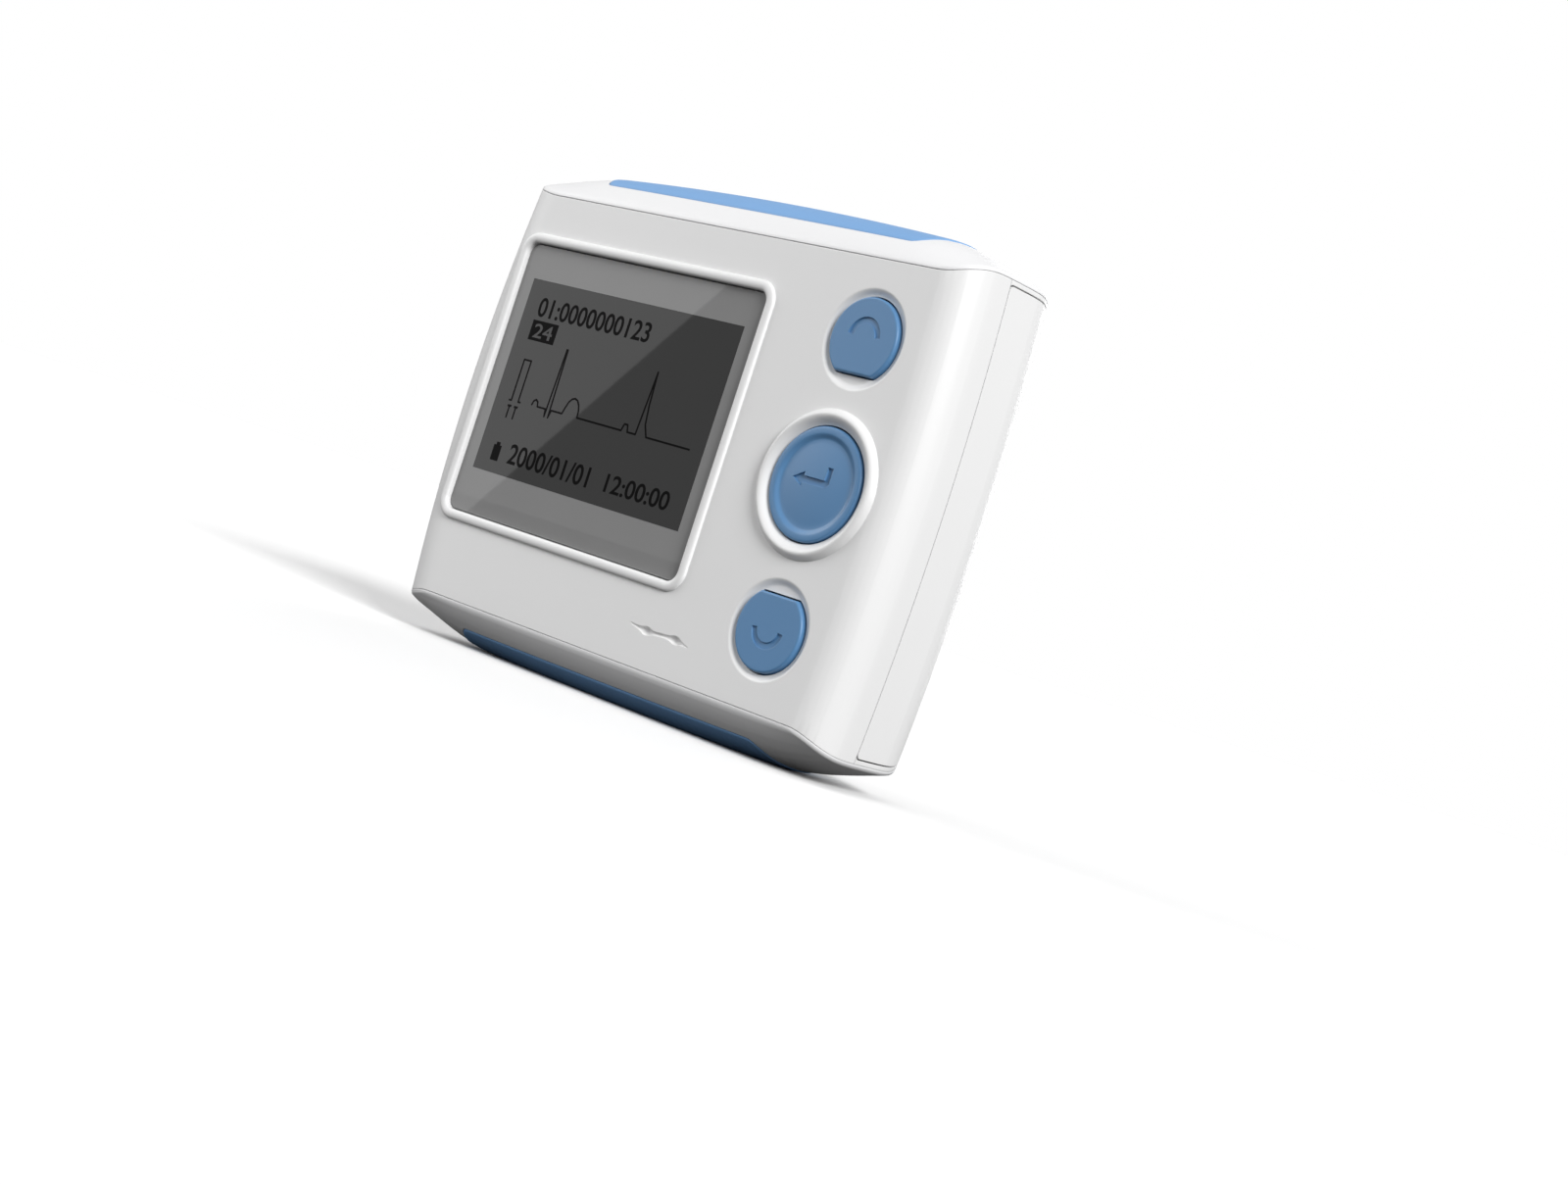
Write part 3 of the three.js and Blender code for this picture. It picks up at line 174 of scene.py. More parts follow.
ICON_TIP = (3.15, -22.6, 3.85, -22.0)
INVERSE_BOX = (2.5, -8.0, 7.6, -5.3)
INVERSE_WORDS = ("24", (3.2, -7.6, 6.9, -5.7))
WORDS = (
    ("01:0000000123", (2.7, -4.8, 24.5, -2.2)),
    ("2000/01/01", (6.1, -24.4, 22.0, -21.7)),
    ("12:00:00", (25.2, -24.2, 37.0, -21.8)),
)
DIGIT_WEIGHT = 0.012
DIGIT_DEPTH = 0.5

# Keys
KEY_PITCH = 17.7
ENTER_RADIUS = 6.95
ENTER_PROUD = 0.4
SMALL_KEY_RADIUS = 5.1
SMALL_KEY_FLAT = 4.2
SMALL_KEY_CORNER = 0.35
SMALL_KEY_PROUD = 0.2
KEY_HOLE_GAP = 0.18
KEY_EDGE = 0.28
KEY_WALL = 0.9
KEY_TOP = 1.5
KEY_FLANGE = 0.8
KEY_FLANGE_NEAR = 2.3
KEY_BOTTOM = 2.9
KEY_STEM_RADIUS = 1.2
KEY_STEM_END = 2.4
GROOVE_RADIUS = 5.75
GROOVE_WIDTH = 0.8
GROOVE_DEPTH = 0.32
KEY_DOME = 0.24
GLYPH_OUTER = 2.5
GLYPH_INNER = 1.7
GLYPH_SPAN = math.radians(84)
GLYPH_SHIFT = 0.15
GLYPH_DEPTH = 0.2
ARROW_TIP = -3.7
ARROW_NECK = -2.0
ARROW_RIGHT = 2.1
ARROW_LINE = 0.8
ARROW_RISE = 2.0
ARROW_BARB = 0.9
ARROW_HEIGHT = 0.25
ARROW_CORNER = 0.7
BOSS_WIDTH = 2.0
BOSS_HEIGHT = 0.8
BOSS_CREST_SHARE = 0.6
BOSS_INNER_POWER = 1.3
BOSS_OUTER_POWER = 0.8
DISH_WIDTH = 1.0
DISH_DEPTH = 0.5

# Wave mark
WAVE_X = 9.95
WAVE_Z = -22.55
WAVE_LENGTH = 10.4
WAVE_HEIGHT = 0.2
WAVE_TILT = 0.6
WAVE_LINE = 0.24
WAVE_LOBE = 0.34
WAVE_SKEW = 1.25
WAVE_LOBE_POWER = 5
WAVE_END_POWER = 0.4
WAVE_END_SHARE = 0.01

# Back: label panel, plugs, screws, pocket, door and battery
LABEL_X = -8.3
LABEL_WIDTH = 35.5
LABEL_HEIGHT = 45.4
LABEL_RADIUS = 1.0
LABEL_DEPTH = 0.4
SCREW_LEFT_X = -33.6
SCREW_Z = 24.9
PLUG_RADIUS = 2.06
PLUG_HOLE_RADIUS = 2.16
PLUG_THICKNESS = 1.3
PLUG_EDGE = 0.15
POCKET_HEIGHT = 33.0
POCKET_FRONT = 1.4
POCKET_BACK = 13.6
POCKET_RADIUS = 1.7
POCKET_DEPTH = 2.4
POCKET_FLOOR = 1.2
POCKET_STEP = 0.9
POCKET_SLOPE_BACK = 6.2
RIB_PITCH = 7.37
RIB_SHIFT = -0.8
RIB_COUNT = 4
RIB_THICKNESS = 0.6
DOOR_LEFT = 18.4
DOOR_EDGE = 0.65
DOOR_CORNER = 0.6
DOOR_WALL = 1.6
GRIP_X = 28.0
GRIP_PITCH = 3.5
GRIP_COUNT = 3
GRIP_LENGTH = 30.0
GRIP_RADIUS = 0.5
GRIP_SINK = 0.36
GRIP_TAPER = 5.0
GRIP_END_SHARE = 0.02
CELL_EDGE = 0.4
CELL_NUB_RADIUS = 1.9
CELL_NUB_LENGTH = 1.0
CELL_BEAD = 0.25
CELL_ROLL = 2 * CELL_EDGE
CELL_END = 3 * CELL_EDGE
SPRING_WIRE = 0.25
SPRING_BASE = 3.2
SPRING_TIP = 2.0
SPRING_TURNS = 2.5

# How finely round shapes are divided
CORNER_STEPS = 9
CAMBER_STEPS = 12
LEVELS = 30
SIDE_ROWS = 14
ROW_SPACING = 0.03
EDGE_STEPS = 4
ROUND_STEPS = 128
PEG_STEPS = 32
PLUG_STEPS = 64
CELL_STEPS = 72
RIM_STEPS = 12
BOSS_STEPS = 16
DISH_STEPS = 8
GROOVE_STEPS = 8
DOME_STEPS = 10
GLYPH_STEPS = 40
WAVE_STEPS = 72
WAVE_SIDES = 14
GRIP_STEPS = 40
GRIP_SIDES = 20
SPRING_STEPS = 40
SPRING_SIDES = 10
CAP_COLUMNS = 60
HOLLOW_COLUMNS = 24
HOLLOW_ROWS = 17
TRIM_COLUMNS = 72
TRIM_ROWS = 30
WELD = 1e-5
SHARP_ANGLE = math.radians(33)
NORMAL_WEIGHT = 90

# Surfaces. Scales are in cycles per metre, reliefs and edges in millimetres
GRAIN_SCALE = 5200.0
GRAIN_DETAIL = 1.0
GRAIN_RELIEF = 0.03
FLOW_SCALE = 70.0
FLOW_SWING = 0.012
SMUDGE_SCALE = 320.0
SMUDGE_DETAIL = 4.0
SMUDGE_SWING = 0.02
SOFT_EDGE = 0.12
FILM_ROUGHNESS = 0.015
CLOUD_SCALE = 120.0
CLOUD_SWING = 0.03
HAZE_SCALE = 900.0
HAZE_STRENGTH = 0.01
HAZE_RELIEF = 0.01
DRAWING_SCALE = (6000.0, 6000.0, 180.0)
DRAWING_SWING = 0.08
DRAWING_STRENGTH = 0.08
DRAWING_RELIEF = 0.02
TRACK_SCALE = 420.0
TRACK_WIDTH = 0.06
TRACK_SHADE_SHARE = 0.8
TRACK_STRENGTH = 0.3
TRACK_RELIEF = 0.03
NOISE_DETAIL = 2.0
NOISE_LOW = 0.3
NOISE_HIGH = 0.7

# Floor, world and lamps. Each direction points from the object towards its lamp
FLOOR_HALF = 6000.0
FLOOR_SHADE = 0.12
FLOOR_CAMERA = 0.93
AMBIENT = 0.5
KEY_LIGHT = 3.0
KEY_TOWARDS = (0.78, -0.31, 0.45)
KEY_ANGLE = math.radians(24)
FILL_LIGHT = 1.2
FILL_TOWARDS = (-0.85, -0.35, 0.35)
REAR_LIGHT = 1.5
REAR_TOWARDS = (-0.35, 0.92, 0.15)
FILL_ANGLE = math.radians(40)
REFLECTION_ENDS = ((-30.9, -15.7), (2.6, 21.0))
SOFTBOX_DISTANCE = 870.0
SOFTBOX_SIZE = 900.0
SOFTBOX_RADIANCE = 0.9
CLIP_START = 1.0


# Solids made of rings and grids

def add_to_scene(made):
    bpy.context.scene.collection.objects.link(made)


def shares(steps):
    return [step / steps for step in range(steps + 1)]


def quarter_turns(steps):
    return [share * math.pi / 2 for share in shares(steps)]


def eased(steps):
    """Places from -1 to 1, closer together towards both."""
    return [math.sin(math.pi / 2 * (2 * share - 1)) for share in shares(steps)]


def directions(steps):
    """Unit directions all the way round."""
    turns = [2 * math.pi * step / steps for step in range(steps)]
    return [(math.cos(turn), math.sin(turn)) for turn in turns]


def solid(vertices, faces):
    """A welded mesh with its faces turned outwards, as an object."""
    mesh = bpy.data.meshes.new("work")
    mesh.from_pydata([tuple(map(float, point)) for point in vertices], [], faces)
    work = bmesh.new()
    work.from_mesh(mesh)
    bmesh.ops.remove_doubles(work, verts=work.verts, dist=WELD)
    bmesh.ops.recalc_face_normals(work, faces=work.faces)
    work.to_mesh(mesh)
    work.free()
    made = bpy.data.objects.new("work", mesh)
    add_to_scene(made)
    return made


def side_faces(rings, spans, around):
    """The faces that join each ring of points to the next one."""
    count = len(rings[0])
    faces = []
    for span in range(spans):
        here = span * count
        there = (span + 1) % len(rings) * count
        for index in range(around):
            after = (index + 1) % count
            faces.append((here + index, here + after, there + after, there + index))
    return faces


def loft(rings):
    count = len(rings[0])
    vertices = [point for ring in rings for point in ring]
    faces = side_faces(rings, len(rings) - 1, count)
    faces.append(tuple(range(count)))
    faces.append(tuple(range(len(vertices) - count, len(vertices))))
    return solid(vertices, faces)


def ring_of(rings, open_profile=False):
    """Sections joined all the way round. An open profile starts and ends on the axis."""
    around = len(rings[0]) - 1 if open_profile else len(rings[0])
    return solid([point for ring in rings for point in ring], side_faces(rings, len(rings), around))


def outward(points, closed=True):
    """Unit normals of an outline in a plane that runs anticlockwise, pointing out of it."""
    path = np.array(points, dtype=float)
    ahead = np.roll(path, -1, axis=0)
    behind = np.roll(path, 1, axis=0)
    if not closed:
        ahead[-1] = path[-1]
        behind[0] = path[0]
    tangent = ahead - behind
    tangent /= np.linalg.norm(tangent, axis=1)[:, None]
    return np.stack([tangent[:, 1], -tangent[:, 0]], axis=1)


def drawn_in(points, distance):
    return np.array(points) - distance * outward(points)


def edge_stations(edge):
    """Pairs of inset and drop that round an edge, from the side to the face."""
    turns = quarter_turns(EDGE_STEPS)
    return [(edge * (1 - math.cos(turn)), edge * (1 - math.sin(turn))) for turn in turns]


def at_depth(points, depth):
    return [(x, depth - HALF_DEPTH, z) for x, z in points]


def plate(points, near, far, edge=0.0):
    """An outline in X and Z made solid between two depths, with its edge at the first one rounded."""
    rings = [at_depth(points, far)]
    if edge > 0:
        inwards = 1 if far > near else -1
        for inset, drop in edge_stations(edge):
            rings.append(at_depth(drawn_in(points, inset), near + inwards * drop))
    else:
        rings.append(at_depth(points, near))
    return loft(rings)


def circle(x, z, radius, steps=ROUND_STEPS):
    return [(x + radius * across, z + radius * up) for across, up in directions(steps)]


def rod(x, z, radius, near, far, steps=ROUND_STEPS):
    return plate(circle(x, z, radius, steps), near, far)


def arc(x, z, radius, start, end, steps=CORNER_STEPS):
    turns = [start + (end - start) * step / steps for step in range(steps + 1)]
    return [(x + radius * math.cos(turn), z + radius * math.sin(turn)) for turn in turns]


def rounded_rectangle(width, height, radius, x, z):
    right = width / 2 - radius
    top = height / 2 - radius
    quarter = math.pi / 2
    places = [(right, top), (-right, top), (-right, -top), (right, -top)]
    return [
        point
        for turn, (across, up) in enumerate(places)
        for point in arc(x + across, z + up, radius, turn * quarter, (turn + 1) * quarter)
    ]


def bar_across(outline, ends):
    """An outline in Y and Z made solid between two places along X."""
    return loft([[(x, y, z) for y, z in outline] for x in ends])


def upright_bar(outline, heights):
    """An outline in X and Y made solid between two heights."""
    return loft([[(x, y, z) for x, y in outline] for z in heights])


def block(across, depths, heights):
    left, right = across
    near, far = (depth - HALF_DEPTH for depth in depths)
    return upright_bar([(left, near), (right, near), (right, far), (left, far)], heights)


def turned(x, z, profile, closed=False):
    """A profile of radius and depth turned about a line along Y."""
    rings = [
        [(x + out * across, y - HALF_DEPTH, z + out * up) for out, y in profile]
        for across, up in directions(ROUND_STEPS)
    ]
    return ring_of(rings, open_profile=not closed)


def tube(path, radii, sides, depth=0.0):
    """A round bar that follows a path of X and Z at one depth."""
    rings = []
    for (x, z), (across, up), radius in zip(path, outward(path, closed=False), radii):
        around = circle(0.0, depth - HALF_DEPTH, radius, sides)
        rings.append([(x + out * across, y, z + out * up) for out, y in around])
    return loft(rings)


def layer(up, rows, columns, plan, inner, outer):
    """A closed solid between two surfaces over a plan. Rows run along Y, columns along X."""
    width = columns + 1
    count = len(rows) * width
    flat = [plan(across, row) for row in rows for across in eased(columns)]
    vertices = [(x, y, up * height(x, y)) for height in (inner, outer) for x, y in flat]
    faces = []
    for row in range(len(rows) - 1):
        for column in range(columns):
            corner = row * width + column
            ring = (corner, corner + 1, corner + width + 1, corner + width)
            faces.append(ring[::-1])
            faces.append(tuple(index + count for index in ring))
        for column in (0, columns):
            corner = row * width + column
            faces.append((corner, corner + count, corner + width + count, corner + width))
    for row in (0, len(rows) - 1):
        for column in range(columns):
            corner = row * width + column
            faces.append((corner, corner + 1, corner + 1 + count, corner + count))
    return solid(vertices, faces)


def combine(base, tool, operation):
    change = base.modifiers.new("change", "BOOLEAN")
    change.operation = operation
    change.solver = "MANIFOLD"
    change.object = tool
    evaluated = base.evaluated_get(bpy.context.evaluated_depsgraph_get())
    mesh = bpy.data.meshes.new_from_object(evaluated)
    base.modifiers.clear()
    base.data = mesh
    bpy.data.objects.remove(tool)
    return base


def join(base, *tools):
    for tool in tools:
        combine(base, tool, "UNION")
    return base


def cut(base, *tools):
    for tool in tools:
        combine(base, tool, "DIFFERENCE")
    return base


def meet(base, tool):
    return combine(base, tool, "INTERSECT")


def solid_copy(node):
    """A welded working copy of a CAD solid, about the housing's middle."""
    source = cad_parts[node].data
    vertices = [(v.co.x / MM, v.co.y / MM, v.co.z / MM - LIFT) for v in source.vertices]
    faces = [tuple(face.vertices) for face in source.polygons]
    return solid(vertices, faces)


# The housing's outline

def bow(z):
    return 1 - (z / HALF_FACE) ** 2


def corner_inset(distance, radius):
    left = radius - min(max(distance, 0.0), radius)
    return radius - math.sqrt(max(radius**2 - left**2, 0.0))


def right_side(y, z, inset=0.0):
    front = corner_inset(y + HALF_DEPTH - inset, FRONT_RIGHT_RADIUS - inset)
    back = corner_inset(HALF_DEPTH - y - inset, BACK_RIGHT_RADIUS - inset)
    return HALF_WIDTH + RIGHT_BOW * bow(z) - inset - front - back


def left_front(depth):
    """How far the left side stands in: the camber of the face, blended into a side that leans."""
    lean = LEFT_LEAN * max(0.0, 1 - depth / PARTING_DEPTH)
    reach = min(max(depth, 0.0), CAMBER_RADIUS)
    camber = CAMBER_REACH - math.sqrt(2 * CAMBER_RADIUS * reach - reach**2)
    return (lean + camber + math.hypot(lean - camber, CAMBER_BLEND)) / 2


def left_side(y, z, inset=0.0):
    front = left_front(y + HALF_DEPTH - inset)
    back = corner_inset(HALF_DEPTH - y - inset, BACK_LEFT_RADIUS - inset)
    return -(HALF_WIDTH + LEFT_BOW * bow(z) - inset - front - back)


def seam_height(y):
    share = min(1.0, abs(y) / HALF_DEPTH)
    return HALF_FACE + SEAM_RISE * (1 - share**4)


def outline_rows(inset=0.0):
    """Places along Y where the outline is drawn, closer together in its round corners."""
    turns = quarter_turns(CORNER_STEPS)
    rows = {PARTING_DEPTH - HALF_DEPTH}
    front = -HALF_DEPTH + inset
    rows |= {front + (FRONT_RIGHT_RADIUS - inset) * (1 - math.cos(turn)) for turn in turns}
    camber = [share * CAMBER_TURN for share in shares(CAMBER_STEPS)]
    rows |= {front + CAMBER_RADIUS * (1 - math.cos(turn)) for turn in camber}
    for radius in (BACK_LEFT_RADIUS, BACK_RIGHT_RADIUS):
        rows |= {HALF_DEPTH - inset - (radius - inset) * (1 - math.cos(turn)) for turn in turns}
    rows |= set(np.linspace(-HALF_DEPTH + inset, HALF_DEPTH - inset, SIDE_ROWS))
    kept = []
    for y in sorted(rows):
        if not kept or y - kept[-1] > ROW_SPACING:
            kept.append(y)
    kept[-1] = HALF_DEPTH - inset
    return kept


def shell_body(inset, end_gap, edge=0.0):
    """The whole housing between its end seams, drawn in, with rounded end edges."""
    rows = outline_rows(inset)
    ends = edge_stations(edge) if edge > 0 else [(0.0, 0.0)]
    stations = [(share, 0.0, edge) for share in np.linspace(-1, 1, LEVELS)]
    stations = [(-1.0, *end) for end in ends[:0:-1]] + stations + [(1.0, *end) for end in ends[1:]]
    rings = []
    for share, drawn, drop in stations:
        heights = [share * (seam_height(y) - end_gap - drop) for y in rows]
        right = [(right_side(y, z, inset), y) for y, z in zip(rows, heights)]
        left = [(left_side(y, z, inset), y) for y, z in zip(rows, heights)]
        flat = drawn_in(right + left[::-1], drawn)
        rings.append([(x, y, z) for (x, y), z in zip(flat, heights + heights[::-1])])
    count = len(rings[0])
    vertices = [point for ring in rings for point in ring]
    faces = side_faces(rings, len(rings) - 1, count)
    top = (len(rings) - 1) * count
    for index in range(len(rows) - 1):
        mirror = count - 1 - index
        faces.append((mirror, mirror - 1, index + 1, index))
        faces.append((top + index, top + index + 1, top + mirror - 1, top + mirror))
    return solid(vertices, faces)


# Finishing

def finish(made, name, body, nodes, finishes):
    """Give a piece its place, size, look and name, its body, and the solids that it stands for."""
    mesh = made.data
    mesh.transform(Matrix.Translation((0, 0, LIFT)))
    mesh.transform(Matrix.Scale(MM, 4))
    mesh.materials.clear()
    mesh.materials.append(finishes)
    mesh.polygons.foreach_set("material_index", [0] * len(mesh.polygons))
    mesh.shade_smooth()
    mesh.set_sharp_from_angle(angle=SHARP_ANGLE)
    made.name = name
    mesh.name = name
    weighted = made.modifiers.new("normals", "WEIGHTED_NORMAL")
    weighted.keep_sharp = True
    weighted.weight = NORMAL_WEIGHT
    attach(made, body)
    if nodes:
        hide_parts(*nodes)


# Shells

def skin_of_housing():
    whole = shell_body(0.0, CAP_GAP / 2, SHELL_EDGE)
    return cut(whole, shell_body(SKIN, SKIN_END))


def core_of(node):
    """What a CAD shell holds inside its skin: walls, bosses, ribs and ledges."""
    return meet(solid_copy(node), shell_body(CORE_INSET, CORE_INSET))


def pocket_floor_x():
    return -(HALF_WIDTH + LEFT_BOW) + POCKET_DEPTH


def pocket_reach(gap):
    """The tongue of the rear shell that forms the pocket, ahead of the parting line."""
    inner = pocket_floor_x() + POCKET_FLOOR
    half = POCKET_HEIGHT / 2 + gap
    return block((-FAR_OUT, inner), (POCKET_FRONT - gap, FAR_OUT), (-half, half))


def pocket_cut():
    """The pocket in the left side, round at its back corners and square along the face."""
    top = POCKET_HEIGHT / 2
    back = POCKET_BACK - HALF_DEPTH
    front = POCKET_FRONT - HALF_DEPTH
    outline = [(front, top)]
    outline += arc(back - POCKET_RADIUS, top - POCKET_RADIUS, POCKET_RADIUS, math.pi / 2, 0.0)
    outline += arc(back - POCKET_RADIUS, POCKET_RADIUS - top, POCKET_RADIUS, 0.0, -math.pi / 2)
    outline.append((front, -top))
    return bar_across(outline, (-FAR_OUT, pocket_floor_x()))


def pocket_ends():
    """Strips of the pocket's floor that close it at both ends."""
    floor = pocket_floor_x()
    top = POCKET_HEIGHT / 2
    for up in (1, -1):
        heights = sorted((up * (top - POCKET_RADIUS), up * top))
        yield block((floor, floor + POCKET_FLOOR - LINE_GAP), (POCKET_FRONT, POCKET_BACK), heights)


def pocket_slopes():
    """The floor beside the lip, sloping deeper between the ribs."""
    floor = pocket_floor_x()
    front = POCKET_FRONT - HALF_DEPTH
    back = POCKET_SLOPE_BACK - HALF_DEPTH
    outside = floor - OVERRUN
    slope = [(outside, front), (floor + POCKET_STEP, front), (floor, back), (outside, back)]
    ribs = [RIB_SHIFT + RIB_PITCH * (rib - (RIB_COUNT - 1) / 2) for rib in range(RIB_COUNT)]
    lows = [LINE_GAP - POCKET_HEIGHT / 2] + [rib + RIB_THICKNESS / 2 for rib in ribs]
    highs = [rib - RIB_THICKNESS / 2 for rib in ribs] + [POCKET_HEIGHT / 2 - LINE_GAP]
    for low, high in zip(lows, highs):
        yield upright_bar(slope, (low, high))


def window_outline(grow=0.0):
    width = WINDOW_WIDTH + 2 * grow
    height = WINDOW_HEIGHT + 2 * grow
    return rounded_rectangle(width, height, WINDOW_RADIUS + grow, WINDOW_X, WINDOW_Z)


def rim_bead():
    """The raised rim round the window, a bead swept along a rounded rectangle."""
    half = RIM_WIDTH / 2
    path = window_outline(WINDOW_GAP + half)
    normals = outward(path)
    turns = [math.pi * share for share in shares(RIM_STEPS)]
    profile = [(half * math.cos(turn), -RIM_HEIGHT * math.sin(turn) ** RIM_FLATNESS) for turn in turns]
    profile += [(-half, WALL / 2), (half, WALL / 2)]
    sections = [
        [(x + out * across, depth - HALF_DEPTH, z + out * up) for out, depth in profile]
        for (x, z), (across, up) in zip(path, normals)
    ]
    return ring_of(sections)


def window_recess():
    return plate(window_outline(WINDOW_GAP), -OVERRUN, WINDOW_FAR + LINE_GAP / 2)


def window_hole():
    """The hole behind the window, inside the ledge that it sits on."""
    width = WINDOW_WIDTH - 2 * WINDOW_LEDGE
    height = WINDOW_HEIGHT - 2 * WINDOW_LEDGE
    outline = rounded_rectangle(width, height, WINDOW_RADIUS, WINDOW_X, WINDOW_Z)
    return plate(outline, 0.0, WALL + OVERRUN)


def enter_boss():
    """The raised ring round the enter key."""
    inner = ENTER_RADIUS + KEY_HOLE_GAP
    quarter = math.pi / 2
    profile = []
    for share in shares(BOSS_STEPS):
        if share < BOSS_CREST_SHARE:
            rise = math.sin(share / BOSS_CREST_SHARE * quarter) ** BOSS_INNER_POWER
        else:
            fall = (share - BOSS_CREST_SHARE) / (1 - BOSS_CREST_SHARE)
            rise = math.cos(fall * quarter) ** BOSS_OUTER_POWER
        profile.append((inner + BOSS_WIDTH * share, -BOSS_HEIGHT * rise))
    profile += [(inner + BOSS_WIDTH, WALL / 2), (inner, WALL / 2)]
    return turned(KEY_X, 0.0, profile, closed=True)


def key_dish(z):
    """The shallow dish round a small key."""
    inner = SMALL_KEY_RADIUS + KEY_HOLE_GAP
    profile = [(0.0, DISH_DEPTH)]
    for share in shares(DISH_STEPS):
        depth = DISH_DEPTH * (1 - math.sin(share * math.pi / 2) ** 2)
        profile.append((inner + DISH_WIDTH * share, depth))
    profile += [(inner + DISH_WIDTH, -OVERRUN), (0.0, -OVERRUN)]
    return turned(KEY_X, z, profile)


def small_key_outline(z, grow=0.0):
    """A circle with a flat towards the enter key, its two corners rounded."""
    radius = SMALL_KEY_RADIUS + grow
    flat = SMALL_KEY_FLAT + grow
    corner = SMALL_KEY_CORNER + max(grow, 0.0)
    across = math.sqrt((radius - corner) ** 2 - (flat - corner) ** 2)
    lean = math.atan2(flat - corner, across)
    up = 1 if z > 0 else -1
    points = arc(across, -(flat - corner), corner, -math.pi / 2, -lean)
    points += arc(0.0, 0.0, radius, -lean, math.pi + lean, ROUND_STEPS)[1:-1]
    points += arc(-across, -(flat - corner), corner, math.pi + lean, 1.5 * math.pi)
    placed = [(KEY_X + x, z + up * height) for x, height in points]
    return placed if up > 0 else placed[::-1]


def wave_groove():
    """The engraved wave under the window, swelling to a lobe near each end."""
    path = []
    radii = []
    for share in shares(WAVE_STEPS):
        z = WAVE_Z - WAVE_HEIGHT * math.sin(2 * math.pi * share) - WAVE_TILT * (share - 0.5)
        path.append((WAVE_X + WAVE_LENGTH * (share - 0.5), z))
        inside = WAVE_END_SHARE + (1 - 2 * WAVE_END_SHARE) * share
        ends = math.sin(math.pi * inside) ** WAVE_END_POWER
        lobe = math.sin(math.pi * (2 * share % 1) ** WAVE_SKEW) ** WAVE_LOBE_POWER
        radii.append(WAVE_LINE * ends + WAVE_LOBE * lobe)
    return tube(path, radii, WAVE_SIDES)


def make_front_shell():
    ahead = block(EVERYWHERE, (-FAR_OUT, PARTING_DEPTH - PARTING_GAP / 2), EVERYWHERE)
    zone = cut(ahead, pocket_reach(PARTING_GAP / 2))
    shell = join(meet(skin_of_housing(), zone), core_of("front_shell"))
    shell = join(shell, rim_bead(), enter_boss())
    shell = cut(shell, window_recess(), window_hole(), pocket_cut())
    shell = cut(shell, key_dish(KEY_PITCH), key_dish(-KEY_PITCH))
    shell = cut(shell, rod(KEY_X, 0.0, ENTER_RADIUS + KEY_HOLE_GAP, -OVERRUN, WALL + OVERRUN))
    for z in (KEY_PITCH, -KEY_PITCH):
        shell = cut(shell, plate(small_key_outline(z, KEY_HOLE_GAP), -OVERRUN, WALL + OVERRUN))
    return cut(shell, wave_groove())


def door_zone(gap):
    """The space of the battery door, grown or shrunk by a gap, with two rounded front corners."""
    start = PARTING_DEPTH - HALF_DEPTH + gap
    turns = quarter_turns(CORNER_STEPS)
    rows = [start + DOOR_CORNER * (1 - math.cos(turn)) for turn in turns]
    rows += [y for y in outline_rows() if y > rows[-1]] + [HALF_DEPTH + OVERRUN]
    ends = [seam_height(y) - DOOR_EDGE - gap - corner_inset(y - start, DOOR_CORNER) for y in rows]
    points = [(y, -end) for y, end in zip(rows, ends)]
    points += [(y, -low) for y, low in points[::-1]]
    return bar_across(points, (DOOR_LEFT + gap, FAR_OUT))


def cap_pegs(up, radius, near, far):
    """The two pegs of an end cap, or the holes for them, between two distances from the middle."""
    for x in (-CAP_PEG_X, CAP_PEG_X):
        outline = circle(x, CAP_PEG_DEPTH - HALF_DEPTH, radius, PEG_STEPS)
        yield upright_bar(outline, (up * near, up * far))


def make_rear_shell():
    behind = block(EVERYWHERE, (PARTING_DEPTH + PARTING_GAP / 2, FAR_OUT), EVERYWHERE)
    zone = join(behind, pocket_reach(-PARTING_GAP / 2))
    skin = cut(meet(skin_of_housing(), zone), door_zone(-DOOR_GAP / 2))
    shell = join(skin, core_of("rear_shell"), *pocket_ends())
    label = rounded_rectangle(LABEL_WIDTH, LABEL_HEIGHT, LABEL_RADIUS, LABEL_X, 0.0)
    shell = cut(shell, pocket_cut(), plate(label, BODY_DEPTH - LABEL_DEPTH, BODY_DEPTH + OVERRUN))
    for z in (SCREW_Z, -SCREW_Z):
        near = BODY_DEPTH - PLUG_THICKNESS - LINE_GAP / 2
        shell = cut(shell, rod(SCREW_LEFT_X, z, PLUG_HOLE_RADIUS, near, BODY_DEPTH + OVERRUN))
    hole = (CAP_PEG_RADIUS + CAP_PEG_CLEARANCE, HALF_FACE - OVERRUN, FAR_OUT)
    return cut(shell, *pocket_slopes(), *cap_pegs(1, *hole), *cap_pegs(-1, *hole))


def grip_groove(x):
    """A shallow groove along the door that runs out at both ends."""
    half = GRIP_LENGTH / 2
    heights = np.linspace(-half, half, GRIP_STEPS + 1)
    shares = [min(1.0, (half - abs(z)) / GRIP_TAPER + GRIP_END_SHARE) for z in heights]
    radii = [GRIP_RADIUS * math.sqrt(share) for share in shares]
    return tube([(x, z) for z in heights], radii, GRIP_SIDES, BODY_DEPTH + GRIP_RADIUS - GRIP_SINK)


def make_door():
    whole = cut(shell_body(0.0, 0.0), shell_body(DOOR_WALL, -OVERRUN))
    door = meet(whole, door_zone(DOOR_GAP / 2))
    door = join(door, core_of("battery_door"))
    for grip in range(GRIP_COUNT):
        door = cut(door, grip_groove(GRIP_X + GRIP_PITCH * (grip - (GRIP_COUNT - 1) / 2)))
    return door


# End caps and trims

